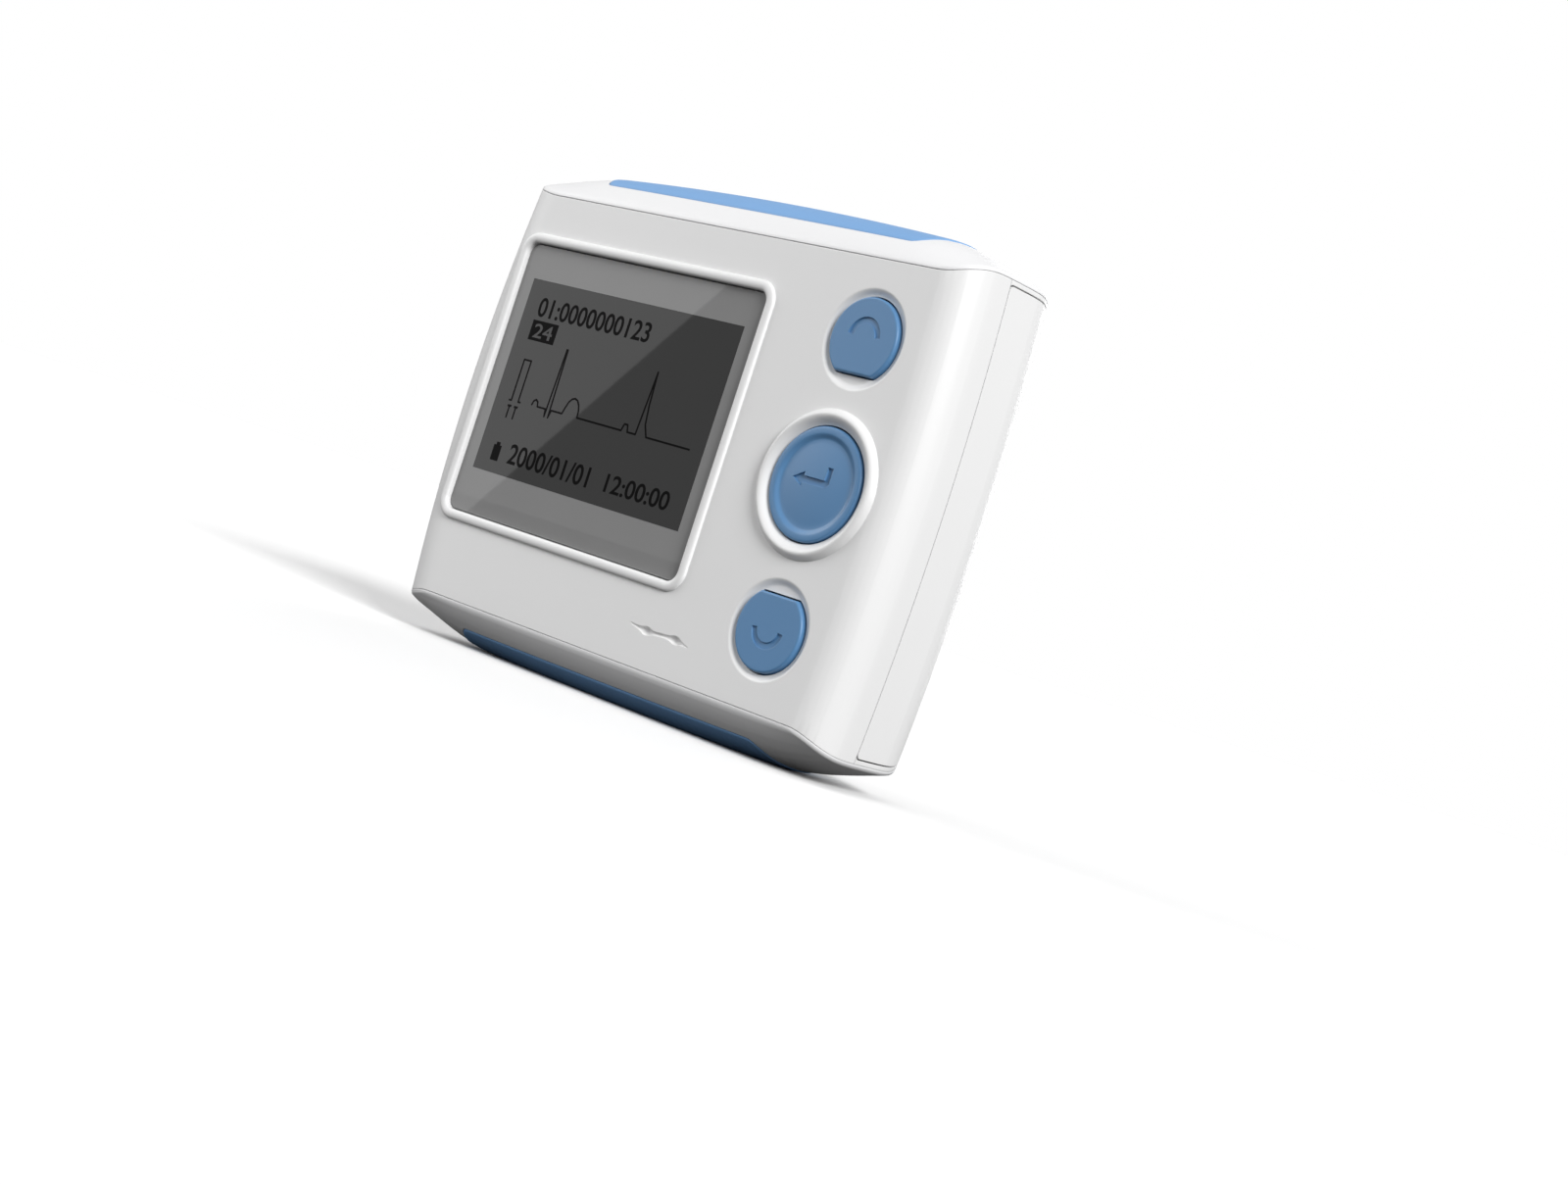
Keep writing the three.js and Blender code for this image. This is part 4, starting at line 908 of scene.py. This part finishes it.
def cap_side(x, y):
    """How far a point stands in from the nearer end of the cap."""
    base = seam_height(y) + CAP_EDGE
    return x - left_side(y, base) if x < 0 else right_side(y, base) - x


def cap_surface(x, y):
    base = seam_height(y) + CAP_EDGE
    share = min(1.0, max(0.0, cap_side(x, y) / CAP_FALL))
    swell = (1 - (1 - share) ** 2) * (1 - CROWN_BOW_SHARE * (x / HALF_WIDTH) ** 2)
    half = min(abs(y), HALF_DEPTH)
    crown = CROWN_Z - CAP_RADIUS + math.sqrt(CAP_RADIUS**2 - half**2)
    return base + swell * max(0.0, crown - base)


def trim_half(x):
    """Half the width of a trim at a place along it."""
    half_length = HALF_WIDTH - TRIM_INSET
    taper = max(0.0, 1 - (half_length - abs(x)) / TRIM_POINT)
    bowed = 1 - TRIM_BOW_SHARE * (x / half_length) ** 2
    return TRIM_TIP_WIDTH / 2 + (TRIM_WIDTH - TRIM_TIP_WIDTH) / 2 * bowed * (1 - taper**2)


def trim_plan(grow):
    half_length = HALF_WIDTH - TRIM_INSET

    def plan(across, row):
        x = across * half_length
        return x + grow * across, row * (trim_half(x) + grow)

    return plan


def make_cap(up):
    def plan(across, y):
        left = left_side(y, seam_height(y))
        right = right_side(y, seam_height(y))
        return (left + right) / 2 + across * (right - left) / 2, y

    def outer(x, y):
        edge = min(HALF_DEPTH - abs(y), cap_side(x, y))
        return cap_surface(x, y) - corner_inset(edge, CAP_ROUNDING)

    cap = layer(up, outline_rows(), CAP_COLUMNS, plan, lambda x, y: seam_height(y) + CAP_GAP / 2, outer)
    hollow_x = HALF_WIDTH - 2 * CAP_WALL - CAP_EDGE
    hollow_y = HALF_DEPTH - CAP_WALL - CAP_EDGE
    hollow = layer(
        up,
        list(np.linspace(-hollow_y, hollow_y, HOLLOW_ROWS)),
        HOLLOW_COLUMNS,
        lambda across, y: (across * hollow_x, y),
        lambda x, y: HALF_FACE - OVERRUN,
        lambda x, y: max(cap_surface(x, y) - CAP_WALL, HALF_FACE - OVERRUN / 2),
    )
    recess = layer(
        up,
        eased(TRIM_ROWS),
        TRIM_COLUMNS,
        trim_plan(TRIM_GAP),
        lambda x, y: cap_surface(x, y) - TRIM_RECESS,
        lambda x, y: cap_surface(x, y) + OVERRUN,
    )
    pegs = cap_pegs(up, CAP_PEG_RADIUS, HALF_FACE - CAP_PEG_SINK, CROWN_Z - CAP_WALL)
    return join(cut(cap, hollow, recess), *pegs)


def make_trim(up):
    half_length = HALF_WIDTH - TRIM_INSET

    def outer(x, y):
        edge = min(trim_half(x) - abs(y), half_length - abs(x))
        height = cap_surface(x, y) + TRIM_PROUD - corner_inset(edge, TRIM_ROUNDING)
        return min(height, LIFT) if up < 0 else height

    return layer(
        up,
        eased(TRIM_ROWS),
        TRIM_COLUMNS,
        trim_plan(0.0),
        lambda x, y: cap_surface(x, y) - TRIM_RECESS + TRIM_GAP,
        outer,
    )


# Keys

def key_stem(z, top):
    """The pin under a key that meets its plunger."""
    return rod(KEY_X, z, KEY_STEM_RADIUS, top + KEY_TOP - LINE_GAP, KEY_STEM_END, PEG_STEPS)


def make_enter_key():
    """A raised ring round a low dome, over a skirt with a flange."""
    top = -ENTER_PROUD
    outer = GROOVE_RADIUS + GROOVE_WIDTH / 2
    inner = GROOVE_RADIUS - GROOVE_WIDTH / 2
    profile = [
        (0.0, top + KEY_TOP),
        (ENTER_RADIUS - KEY_WALL, top + KEY_TOP),
        (ENTER_RADIUS - KEY_WALL, KEY_BOTTOM),
        (ENTER_RADIUS + KEY_FLANGE, KEY_BOTTOM),
        (ENTER_RADIUS + KEY_FLANGE, KEY_FLANGE_NEAR),
        (ENTER_RADIUS, KEY_FLANGE_NEAR),
    ]
    profile += [(ENTER_RADIUS - inset, top + drop) for inset, drop in edge_stations(KEY_EDGE)]
    for share in shares(GROOVE_STEPS):
        depth = GROOVE_DEPTH * (0.5 - 0.5 * math.cos(math.pi * share))
        profile.append((outer + (inner - outer) * share, top + depth))
    for share in reversed(shares(DOME_STEPS)[:-1]):
        profile.append((inner * share, top + GROOVE_DEPTH - KEY_DOME * (1 - share**2)))
    key = join(turned(KEY_X, 0.0, profile), key_stem(0.0, top))
    floor = top + GROOVE_DEPTH - KEY_DOME / 2 + GLYPH_DEPTH
    return cut(key, plate(arrow_outline(), top - OVERRUN, floor))


def arrow_outline():
    """The enter mark: an arrow that comes down from the right and points to the left."""
    half = ARROW_LINE / 2
    left = ARROW_RIGHT - ARROW_LINE
    points = [(ARROW_TIP, 0.0), (ARROW_NECK, -ARROW_BARB), (ARROW_NECK, -half)]
    points += arc(ARROW_RIGHT - ARROW_CORNER, ARROW_CORNER - half, ARROW_CORNER, -math.pi / 2, 0.0)
    points += [(ARROW_RIGHT, ARROW_RISE), (left, ARROW_RISE), (left, half)]
    points += [(ARROW_NECK, half), (ARROW_NECK, ARROW_BARB)]
    return [(KEY_X + x, ARROW_HEIGHT + z) for x, z in points]


def key_glyph(z):
    """Half a ring, curved away from the enter key."""
    up = 1 if z > 0 else -1
    middle = up * math.pi / 2
    centre = z + GLYPH_SHIFT
    points = arc(KEY_X, centre, GLYPH_OUTER, middle - GLYPH_SPAN, middle + GLYPH_SPAN, GLYPH_STEPS)
    points += arc(KEY_X, centre, GLYPH_INNER, middle + GLYPH_SPAN, middle - GLYPH_SPAN, GLYPH_STEPS)
    return plate(points, -OVERRUN, GLYPH_DEPTH - SMALL_KEY_PROUD)


def make_small_key(z):
    top = -SMALL_KEY_PROUD
    key = plate(small_key_outline(z), top, KEY_FLANGE_NEAR + LINE_GAP, KEY_EDGE)
    key = join(key, plate(small_key_outline(z, KEY_FLANGE), KEY_FLANGE_NEAR, KEY_BOTTOM))
    key = cut(key, plate(small_key_outline(z, -KEY_WALL), top + KEY_TOP, KEY_BOTTOM + OVERRUN))
    return cut(join(key, key_stem(z, top)), key_glyph(z))


# Display

def screen_point(x, z):
    """A place on the display, measured right and up from its upper left corner."""
    return SCREEN_LEFT + x, SCREEN_TOP + z


def screen_box(left, low, right, high):
    (x0, z0), (x1, z1) = screen_point(left, low), screen_point(right, high)
    return [(x0, z0), (x1, z0), (x1, z1), (x0, z1)]


def make_window():
    return plate(window_outline(), WINDOW_NEAR, WINDOW_FAR, WINDOW_CHAMFER)


def make_screen():
    outline = screen_box(0.0, -SCREEN_HEIGHT, SCREEN_WIDTH, 0.0)
    return plate(outline, WINDOW_NEAR - SCREEN_FILM, WINDOW_NEAR + SCREEN_FILM)


def inked_box(left, low, right, high):
    return plate(screen_box(left, low, right, high), *INK_LAYER)


def ink_line(points):
    """A drawn line of even width with round joints."""
    line = None
    placed = [screen_point(*point) for point in points]
    for start, end in zip(placed, placed[1:]):
        along = Vector(end) - Vector(start)
        side = Vector((-along.y, along.x)).normalized() * LINE_WIDTH / 2
        corners = [Vector(start) - side, Vector(end) - side, Vector(end) + side, Vector(start) + side]
        piece = plate([tuple(corner) for corner in corners], *INK_LAYER)
        line = join(line, piece) if line else piece
    for point in placed[1:-1]:
        line = join(line, rod(*point, LINE_WIDTH / 2, *INK_LAYER, LINE_JOINT_STEPS))
    return line


def heart_trace():
    turns = [math.pi * share for share in shares(SWELL_STEPS)[1:-1]]
    swell = [(SWELL_X - SWELL_HALF * math.cos(t), TRACE_BASE + SWELL_HEIGHT * math.sin(t)) for t in turns]
    beat = [*TRACE_START, *FIRST_PEAK, *FIRST_PEAK_END, *swell]
    return ink_line([*beat, *SMALL_STEP, *SECOND_PEAK, TRACE_END])


def tick_mark(x):
    half = LINE_WIDTH / 2
    bar = inked_box(x - TICK_BAR_HALF, TICK_BAR_LOW, x + TICK_BAR_HALF, TICK_TOP)
    return join(inked_box(x - half, TICK_LOW, x + half, TICK_TOP), bar)


def battery_icon():
    return join(inked_box(*ICON_CASE), inked_box(*ICON_TIP))


def digits(words, box, layer):
    """Plain numerals stretched to fill a box of the display."""
    curve = bpy.data.curves.new("digits", "FONT")
    curve.body = words
    curve.extrude = DIGIT_DEPTH
    curve.offset = DIGIT_WEIGHT
    writer = bpy.data.objects.new("digits", curve)
    add_to_scene(writer)
    evaluated = writer.evaluated_get(bpy.context.evaluated_depsgraph_get())
    mesh = bpy.data.meshes.new_from_object(evaluated)
    bpy.data.objects.remove(writer)
    points = np.array([tuple(v.co) for v in mesh.vertices])
    lowest, highest = points.min(axis=0), points.max(axis=0)
    left, low, right, high = box
    near, far = layer
    vertices = []
    for across, up, out in (points - lowest) / (highest - lowest):
        x, z = screen_point(left + across * (right - left), low + up * (high - low))
        vertices.append((x, far + (near - far) * out - HALF_DEPTH, z))
    return solid(vertices, [tuple(face.vertices) for face in mesh.polygons])


def merged(pieces):
    """Solids that stand apart, as one mesh."""
    first, *rest = pieces
    work = bmesh.new()
    for piece in pieces:
        work.from_mesh(piece.data)
    work.to_mesh(first.data)
    work.free()
    for piece in rest:
        bpy.data.objects.remove(piece)
    return first


def make_marks():
    marks = [heart_trace(), ink_line(PULSE)]
    marks += [tick_mark(place) for place in TICK_PLACES]
    marks += [battery_icon(), inked_box(*INVERSE_BOX)]
    marks += [digits(words, place, INK_LAYER) for words, place in WORDS]
    return merged(marks)


def make_inverse_digits():
    return digits(*INVERSE_WORDS, INVERSE_LAYER)


# Battery and small pieces

def make_plug(z):
    outline = circle(SCREW_LEFT_X, z, PLUG_RADIUS, PLUG_STEPS)
    return plate(outline, BODY_DEPTH, BODY_DEPTH - PLUG_THICKNESS, PLUG_EDGE)


def make_battery():
    """A cell with a rolled edge at each end and a nub on its upper one."""
    near, far = node_box("battery")
    radius = (far[0] - near[0]) / 2
    low = near[2] - LIFT
    high = far[2] - LIFT
    shoulder = high - CELL_NUB_LENGTH
    profile = [(0.0, low + CELL_BEAD), (radius - CELL_END, low + CELL_BEAD), (radius - CELL_ROLL, low)]
    profile += [(radius - inset, low + drop) for inset, drop in edge_stations(CELL_EDGE)[::-1]]
    profile += [(radius - inset, shoulder - drop) for inset, drop in edge_stations(CELL_EDGE)]
    profile += [
        (radius - CELL_ROLL, shoulder),
        (radius - CELL_END, shoulder - CELL_BEAD),
        (CELL_NUB_RADIUS, shoulder - CELL_BEAD),
        (CELL_NUB_RADIUS, high - CELL_BEAD),
        (CELL_NUB_RADIUS - CELL_BEAD, high),
        (0.0, high),
    ]
    x, y, _ = node_middle("battery")
    rings = [
        [(x + out * across, y + out * behind, z) for out, z in profile]
        for across, behind in directions(CELL_STEPS)
    ]
    return ring_of(rings, open_profile=True)


def make_spring():
    """A conical coil that stands on the lower contact."""
    x, y, _ = node_middle("battery")
    low, high = node_box("battery_spring")
    bottom = low[2] - LIFT + SPRING_WIRE
    top = high[2] - LIFT - SPRING_WIRE
    rings = []
    for share in shares(int(SPRING_TURNS * SPRING_STEPS)):
        turn = 2 * math.pi * SPRING_TURNS * share
        radius = SPRING_BASE + (SPRING_TIP - SPRING_BASE) * share
        wire = circle(radius, bottom + (top - bottom) * share, SPRING_WIRE, SPRING_SIDES)
        rings.append([(x + out * math.cos(turn), y + out * math.sin(turn), z) for out, z in wire])
    return loft(rings)


# Materials

def new_material(name):
    made = bpy.data.materials.new(name)
    made.use_nodes = True
    tree = made.node_tree
    return made, tree, tree.nodes["Principled BSDF"]


def adjust(made, values):
    for name, value in values.items():
        made.inputs[name].default_value = value


def node(tree, kind, **values):
    made = tree.nodes.new(kind)
    adjust(made, values)
    return made


def link(tree, source, output, target, name):
    tree.links.new(source.outputs[output], target.inputs[name])


def textured(tree, kind, spot, **values):
    """A texture in the object's own space, turned or scaled by a mapping."""
    place = node(tree, "ShaderNodeTexCoord")
    mapping = node(tree, "ShaderNodeMapping", **spot)
    made = node(tree, kind, **values)
    link(tree, place, "Object", mapping, "Vector")
    link(tree, mapping, "Vector", made, "Vector")
    return made


def noise(tree, scale, detail=NOISE_DETAIL):
    """Noise in the object's own space, its scale in cycles per metre."""
    place = node(tree, "ShaderNodeTexCoord")
    made = node(tree, "ShaderNodeTexNoise", Scale=scale, Detail=detail)
    link(tree, place, "Object", made, "Vector")
    return made


def roughen(tree, shader, source, roughness, swing):
    """A roughness that runs a little below and above its value as the noise does."""
    made = node(tree, "ShaderNodeMapRange")
    adjust(made, {"From Min": NOISE_LOW, "From Max": NOISE_HIGH})
    adjust(made, {"To Min": roughness - swing, "To Max": roughness + swing})
    link(tree, source, "Fac", made, "Value")
    link(tree, made, "Result", shader, "Roughness")


def tint(tree, shader, source, color, swing):
    """A colour that varies by a small share with the noise."""
    darker = [channel * (1 - swing) for channel in linear(color)]
    lighter = [min(1.0, channel * (1 + swing)) for channel in linear(color)]
    mix = node(tree, "ShaderNodeMixRGB", Color1=(*darker, 1), Color2=(*lighter, 1))
    link(tree, source, "Fac", mix, "Fac")
    link(tree, mix, "Color", shader, "Base Color")


def relief(tree, shader, source, strength, height):
    bump = node(tree, "ShaderNodeBump", Strength=strength, Distance=height * MM)
    link(tree, source, "Fac", bump, "Height")
    link(tree, bump, "Normal", shader, "Normal")
    return bump


def linear(color):
    """Screen values from 0 to 255 as linear light."""
    levels = [channel / 255 for channel in color]
    return [level / 12.92 if level <= 0.04045 else ((level + 0.055) / 1.055) ** 2.4 for level in levels]


def moulded(name, color, roughness, grain=0.06, gloss=0.5):
    """Moulded plastic: a fine spark-eroded grain, faint flow marks and softened edges."""
    made, tree, shader = new_material(name)
    tint(tree, shader, noise(tree, FLOW_SCALE), color, FLOW_SWING)
    roughen(tree, shader, noise(tree, SMUDGE_SCALE, SMUDGE_DETAIL), roughness, SMUDGE_SWING)
    bump = relief(tree, shader, noise(tree, GRAIN_SCALE, GRAIN_DETAIL), grain, GRAIN_RELIEF)
    soft = node(tree, "ShaderNodeBevel", Radius=SOFT_EDGE * MM)
    link(tree, soft, "Normal", bump, "Normal")
    adjust(shader, {"Specular IOR Level": gloss})
    return made


def glossy_film(name, color, gloss=0.5):
    """The polished face of the window: a colour with faint clouding and a slight haze."""
    made, tree, shader = new_material(name)
    tint(tree, shader, noise(tree, CLOUD_SCALE), color, CLOUD_SWING)
    relief(tree, shader, noise(tree, HAZE_SCALE), HAZE_STRENGTH, HAZE_RELIEF)
    adjust(shader, {"Roughness": FILM_ROUGHNESS, "Specular IOR Level": gloss})
    return made


def drawn_metal(name, color, roughness):
    """Metal with fine drawing lines along one axis."""
    made, tree, shader = new_material(name)
    lines = textured(tree, "ShaderNodeTexNoise", {"Scale": DRAWING_SCALE}, Scale=1.0, Detail=NOISE_DETAIL)
    tint(tree, shader, lines, color, DRAWING_SWING)
    roughen(tree, shader, lines, roughness, DRAWING_SWING)
    relief(tree, shader, lines, DRAWING_STRENGTH, DRAWING_RELIEF)
    adjust(shader, {"Metallic": 1.0})
    return made


def laminate(name, mask, copper, roughness):
    """A circuit board: solder mask over copper tracks, which show as a fine raised net."""
    made, tree, shader = new_material(name)
    standing = (math.pi / 2, 0, 0)
    tracks = textured(tree, "ShaderNodeTexBrick", {"Rotation": standing}, Scale=TRACK_SCALE)
    darker = [value * TRACK_SHADE_SHARE for value in linear(mask)]
    adjust(tracks, {"Color1": (*linear(mask), 1), "Color2": (*darker, 1)})
    adjust(tracks, {"Mortar": (*linear(copper), 1), "Mortar Size": TRACK_WIDTH})
    link(tree, tracks, "Color", shader, "Base Color")
    relief(tree, shader, tracks, TRACK_STRENGTH, TRACK_RELIEF)
    adjust(shader, {"Roughness": roughness})
    return made


HOUSING = moulded("housing_plastic", color=(231, 231, 231), roughness=0.42)
CAP = moulded("cap_plastic", color=(231, 231, 232), roughness=0.42)
# The trims are the keys' blue plastic, painted lighter all over: a painted highlight for the glare that
# pales the top trim
TRIM_BLUE_WITH_PAINTED_SHEEN = moulded("trim_plastic", color=(118, 162, 210), roughness=0.55, grain=0.05, gloss=0.35)
KEY = moulded("key_plastic", color=(86, 132, 176), roughness=0.42, grain=0.04)
BORDER = glossy_film("window_plastic", color=(133, 133, 133))
SCREEN = glossy_film("display_ground", color=(50, 50, 50), gloss=0.38)
INK = glossy_film("display_ink", color=(20, 20, 20), gloss=0.02)
DARK = moulded("chip_plastic", color=(34, 34, 36), roughness=0.5, grain=0.1)
FLEX = moulded("flex_film", color=(184, 122, 54), roughness=0.4)
RUBBER = moulded("gasket_rubber", color=(30, 32, 34), roughness=0.8, grain=0.2)
SWITCH = moulded("switch_plastic", color=(40, 40, 42), roughness=0.5)
CREAM = moulded("plunger_plastic", color=(208, 202, 190), roughness=0.45)
FERRITE = moulded("coil_ferrite", color=(72, 74, 78), roughness=0.7, grain=0.2)
STEEL = drawn_metal("steel", color=(196, 198, 202), roughness=0.3)
GOLD = drawn_metal("contact_gold", color=(212, 172, 92), roughness=0.3)
JACKET = drawn_metal("cell_jacket", color=(168, 178, 190), roughness=0.38)
BOARD = laminate("board_laminate", mask=(28, 104, 66), copper=(52, 138, 92), roughness=0.35)

# Pieces that take the place of solids
finish(make_front_shell(), "front_housing", "housing", ["front_shell"], HOUSING)
finish(make_rear_shell(), "rear_housing", "housing", ["rear_shell"], HOUSING)
finish(make_door(), "door_panel", "door", ["battery_door"], HOUSING)
for end, up in (("upper", 1), ("lower", -1)):
    finish(make_cap(up), f"{end}_end_cap", "housing", [f"{end}_cap"], CAP)
    finish(make_trim(up), f"{end}_end_trim", "housing", [f"{end}_trim"], TRIM_BLUE_WITH_PAINTED_SHEEN)
    plug = make_plug(up * SCREW_Z)
    finish(plug, f"{end}_plug_disc", "housing", [f"{end}_screw_plug"], HOUSING)
finish(make_enter_key(), "enter_key_cap", "enter_button", ["enter_key"], KEY)
finish(make_small_key(KEY_PITCH), "up_key_cap", "up_button", ["up_key"], KEY)
finish(make_small_key(-KEY_PITCH), "down_key_cap", "down_button", ["down_key"], KEY)
finish(make_window(), "window_pane", "housing", ["display_window"], BORDER)
finish(make_screen(), "screen_ground", "housing", [], SCREEN)
finish(make_marks(), "screen_marks", "housing", [], INK)
finish(make_inverse_digits(), "screen_inverse_digits", "housing", [], SCREEN)
finish(make_battery(), "cell", "housing", ["battery"], JACKET)
finish(make_spring(), "cell_spring", "housing", ["battery_spring"], STEEL)

# Solids that stay, with their own materials
CHIPS = ("main_chip", "memory_chip", "signal_chip")
SCREWS = ("upper_left_screw", "lower_left_screw", "upper_right_screw", "lower_right_screw")
KEPT = (
    (RUBBER, ("display_gasket",)),
    (SCREEN, ("display_glass",)),
    (DARK, ("display_backlight", "flex_plug", "board_header", *CHIPS, "buzzer")),
    (DARK, ("cable_socket", "usb_socket_tongue")),
    (FLEX, ("display_flex",)),
    (BOARD, ("main_board", "signal_board")),
    (STEEL, ("crystal", "backup_cell", "usb_socket", *SCREWS)),
    (STEEL, ("battery_plus_contact", "battery_minus_contact")),
    (FERRITE, ("supply_coil",)),
    (GOLD, ("cable_socket_tongue",)),
    (SWITCH, ("up_switch", "enter_switch", "down_switch")),
    (CREAM, ("up_plunger", "enter_plunger", "down_plunger")),
)
for finishes, names in KEPT:
    for name in names:
        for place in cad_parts[name].material_slots:
            place.material = finishes


# Floor, world, lamps and camera

def grey(value):
    return (value, value, value, 1)


def split_by_ray(tree, for_light, for_camera, output):
    """One shader for the light that reaches the object, and another for what the camera looks at."""
    rays = node(tree, "ShaderNodeLightPath")
    mix = node(tree, "ShaderNodeMixShader")
    link(tree, rays, "Is Camera Ray", mix, "Fac")
    link(tree, for_light, 0, mix, 1)
    link(tree, for_camera, 0, mix, 2)
    link(tree, mix, "Shader", tree.nodes[output], "Surface")


def make_floor():
    far = FLOOR_HALF * MM
    corners = [(-far, -far, 0.0), (far, -far, 0.0), (far, far, 0.0), (-far, far, 0.0)]
    mesh = bpy.data.meshes.new("floor")
    mesh.from_pydata(corners, [], [tuple(range(len(corners)))])
    floor = bpy.data.objects.new("floor", mesh)
    add_to_scene(floor)
    made, tree, shader = new_material("floor")
    tree.nodes.remove(shader)
    shaded = node(tree, "ShaderNodeBsdfDiffuse", Color=grey(FLOOR_SHADE))
    seen = node(tree, "ShaderNodeBsdfDiffuse", Color=grey(FLOOR_CAMERA))
    split_by_ray(tree, shaded, seen, "Material Output")
    mesh.materials.append(made)


def make_world():
    world = bpy.data.worlds.new("studio")
    world.use_nodes = True
    tree = world.node_tree
    background = tree.nodes["Background"]
    background.inputs["Color"].default_value = grey(AMBIENT)
    white = node(tree, "ShaderNodeBackground", Color=grey(1))
    split_by_ray(tree, background, white, "World Output")
    bpy.context.scene.world = world


def make_sun(name, strength, towards, angle):
    lamp = bpy.data.lights.new(name, "SUN")
    lamp.energy = strength
    lamp.angle = angle
    made = bpy.data.objects.new(name, lamp)
    made.rotation_euler = Vector(towards).to_track_quat("Z", "Y").to_euler()
    add_to_scene(made)


def seen_in_window(x, z):
    """The place that the camera sees mirrored at a point of the window, where the softbox hangs."""
    point = Vector((x, WINDOW_NEAR - HALF_DEPTH, z + LIFT))
    ray = point - Vector(CAMERA_PLACE)
    ray.y = -ray.y
    return point - ray * (SOFTBOX_DISTANCE / ray.y)


def hang(name, data, place, axes):
    """An object at a place, turned so that its X, Y and Z run along three directions."""
    made = bpy.data.objects.new(name, data)
    made.matrix_world = Matrix.Translation(place * MM) @ Matrix(axes).transposed().to_4x4()
    add_to_scene(made)
    return made


def make_softbox():
    """A softbox whose straight edge the window mirrors as a diagonal. It lights no matt surface."""
    start, end = (seen_in_window(*place) for place in REFLECTION_ENDS)
    along = (end - start).normalized()
    back = Vector((0, -1, 0))
    beside = back.cross(along)
    lamp = bpy.data.lights.new("softbox", "AREA")
    lamp.shape = "SQUARE"
    lamp.size = SOFTBOX_SIZE * MM
    lamp.energy = SOFTBOX_RADIANCE * math.pi * lamp.size**2
    middle = (start + end) / 2 + beside * SOFTBOX_SIZE / 2
    made = hang("softbox", lamp, middle, (along, beside, along.cross(beside)))
    made.visible_camera = False
    made.visible_diffuse = False


def make_camera():
    across = Vector((math.cos(PHOTO_AZIMUTH), math.sin(PHOTO_AZIMUTH), 0))
    ahead = Vector((-math.sin(PHOTO_AZIMUTH), math.cos(PHOTO_AZIMUTH), 0))
    up = Vector((0, 0, 1))
    right = math.cos(PHOTO_ROLL) * across + math.sin(PHOTO_ROLL) * up
    top = -math.sin(PHOTO_ROLL) * across + math.cos(PHOTO_ROLL) * up
    lens = bpy.data.cameras.new("camera")
    lens.lens = CAMERA_LENS
    lens.sensor_width = CAMERA_SENSOR
    lens.clip_start = CLIP_START * MM
    bpy.context.scene.camera = hang("camera", lens, Vector(CAMERA_PLACE), (right, top, -ahead))


make_camera()
make_floor()
make_world()
make_sun("key_light", KEY_LIGHT, KEY_TOWARDS, KEY_ANGLE)
make_sun("fill_light", FILL_LIGHT, FILL_TOWARDS, FILL_ANGLE)
make_sun("rear_light", REAR_LIGHT, REAR_TOWARDS, FILL_ANGLE)
make_softbox()
bpy.context.scene.view_settings.view_transform = "Standard"
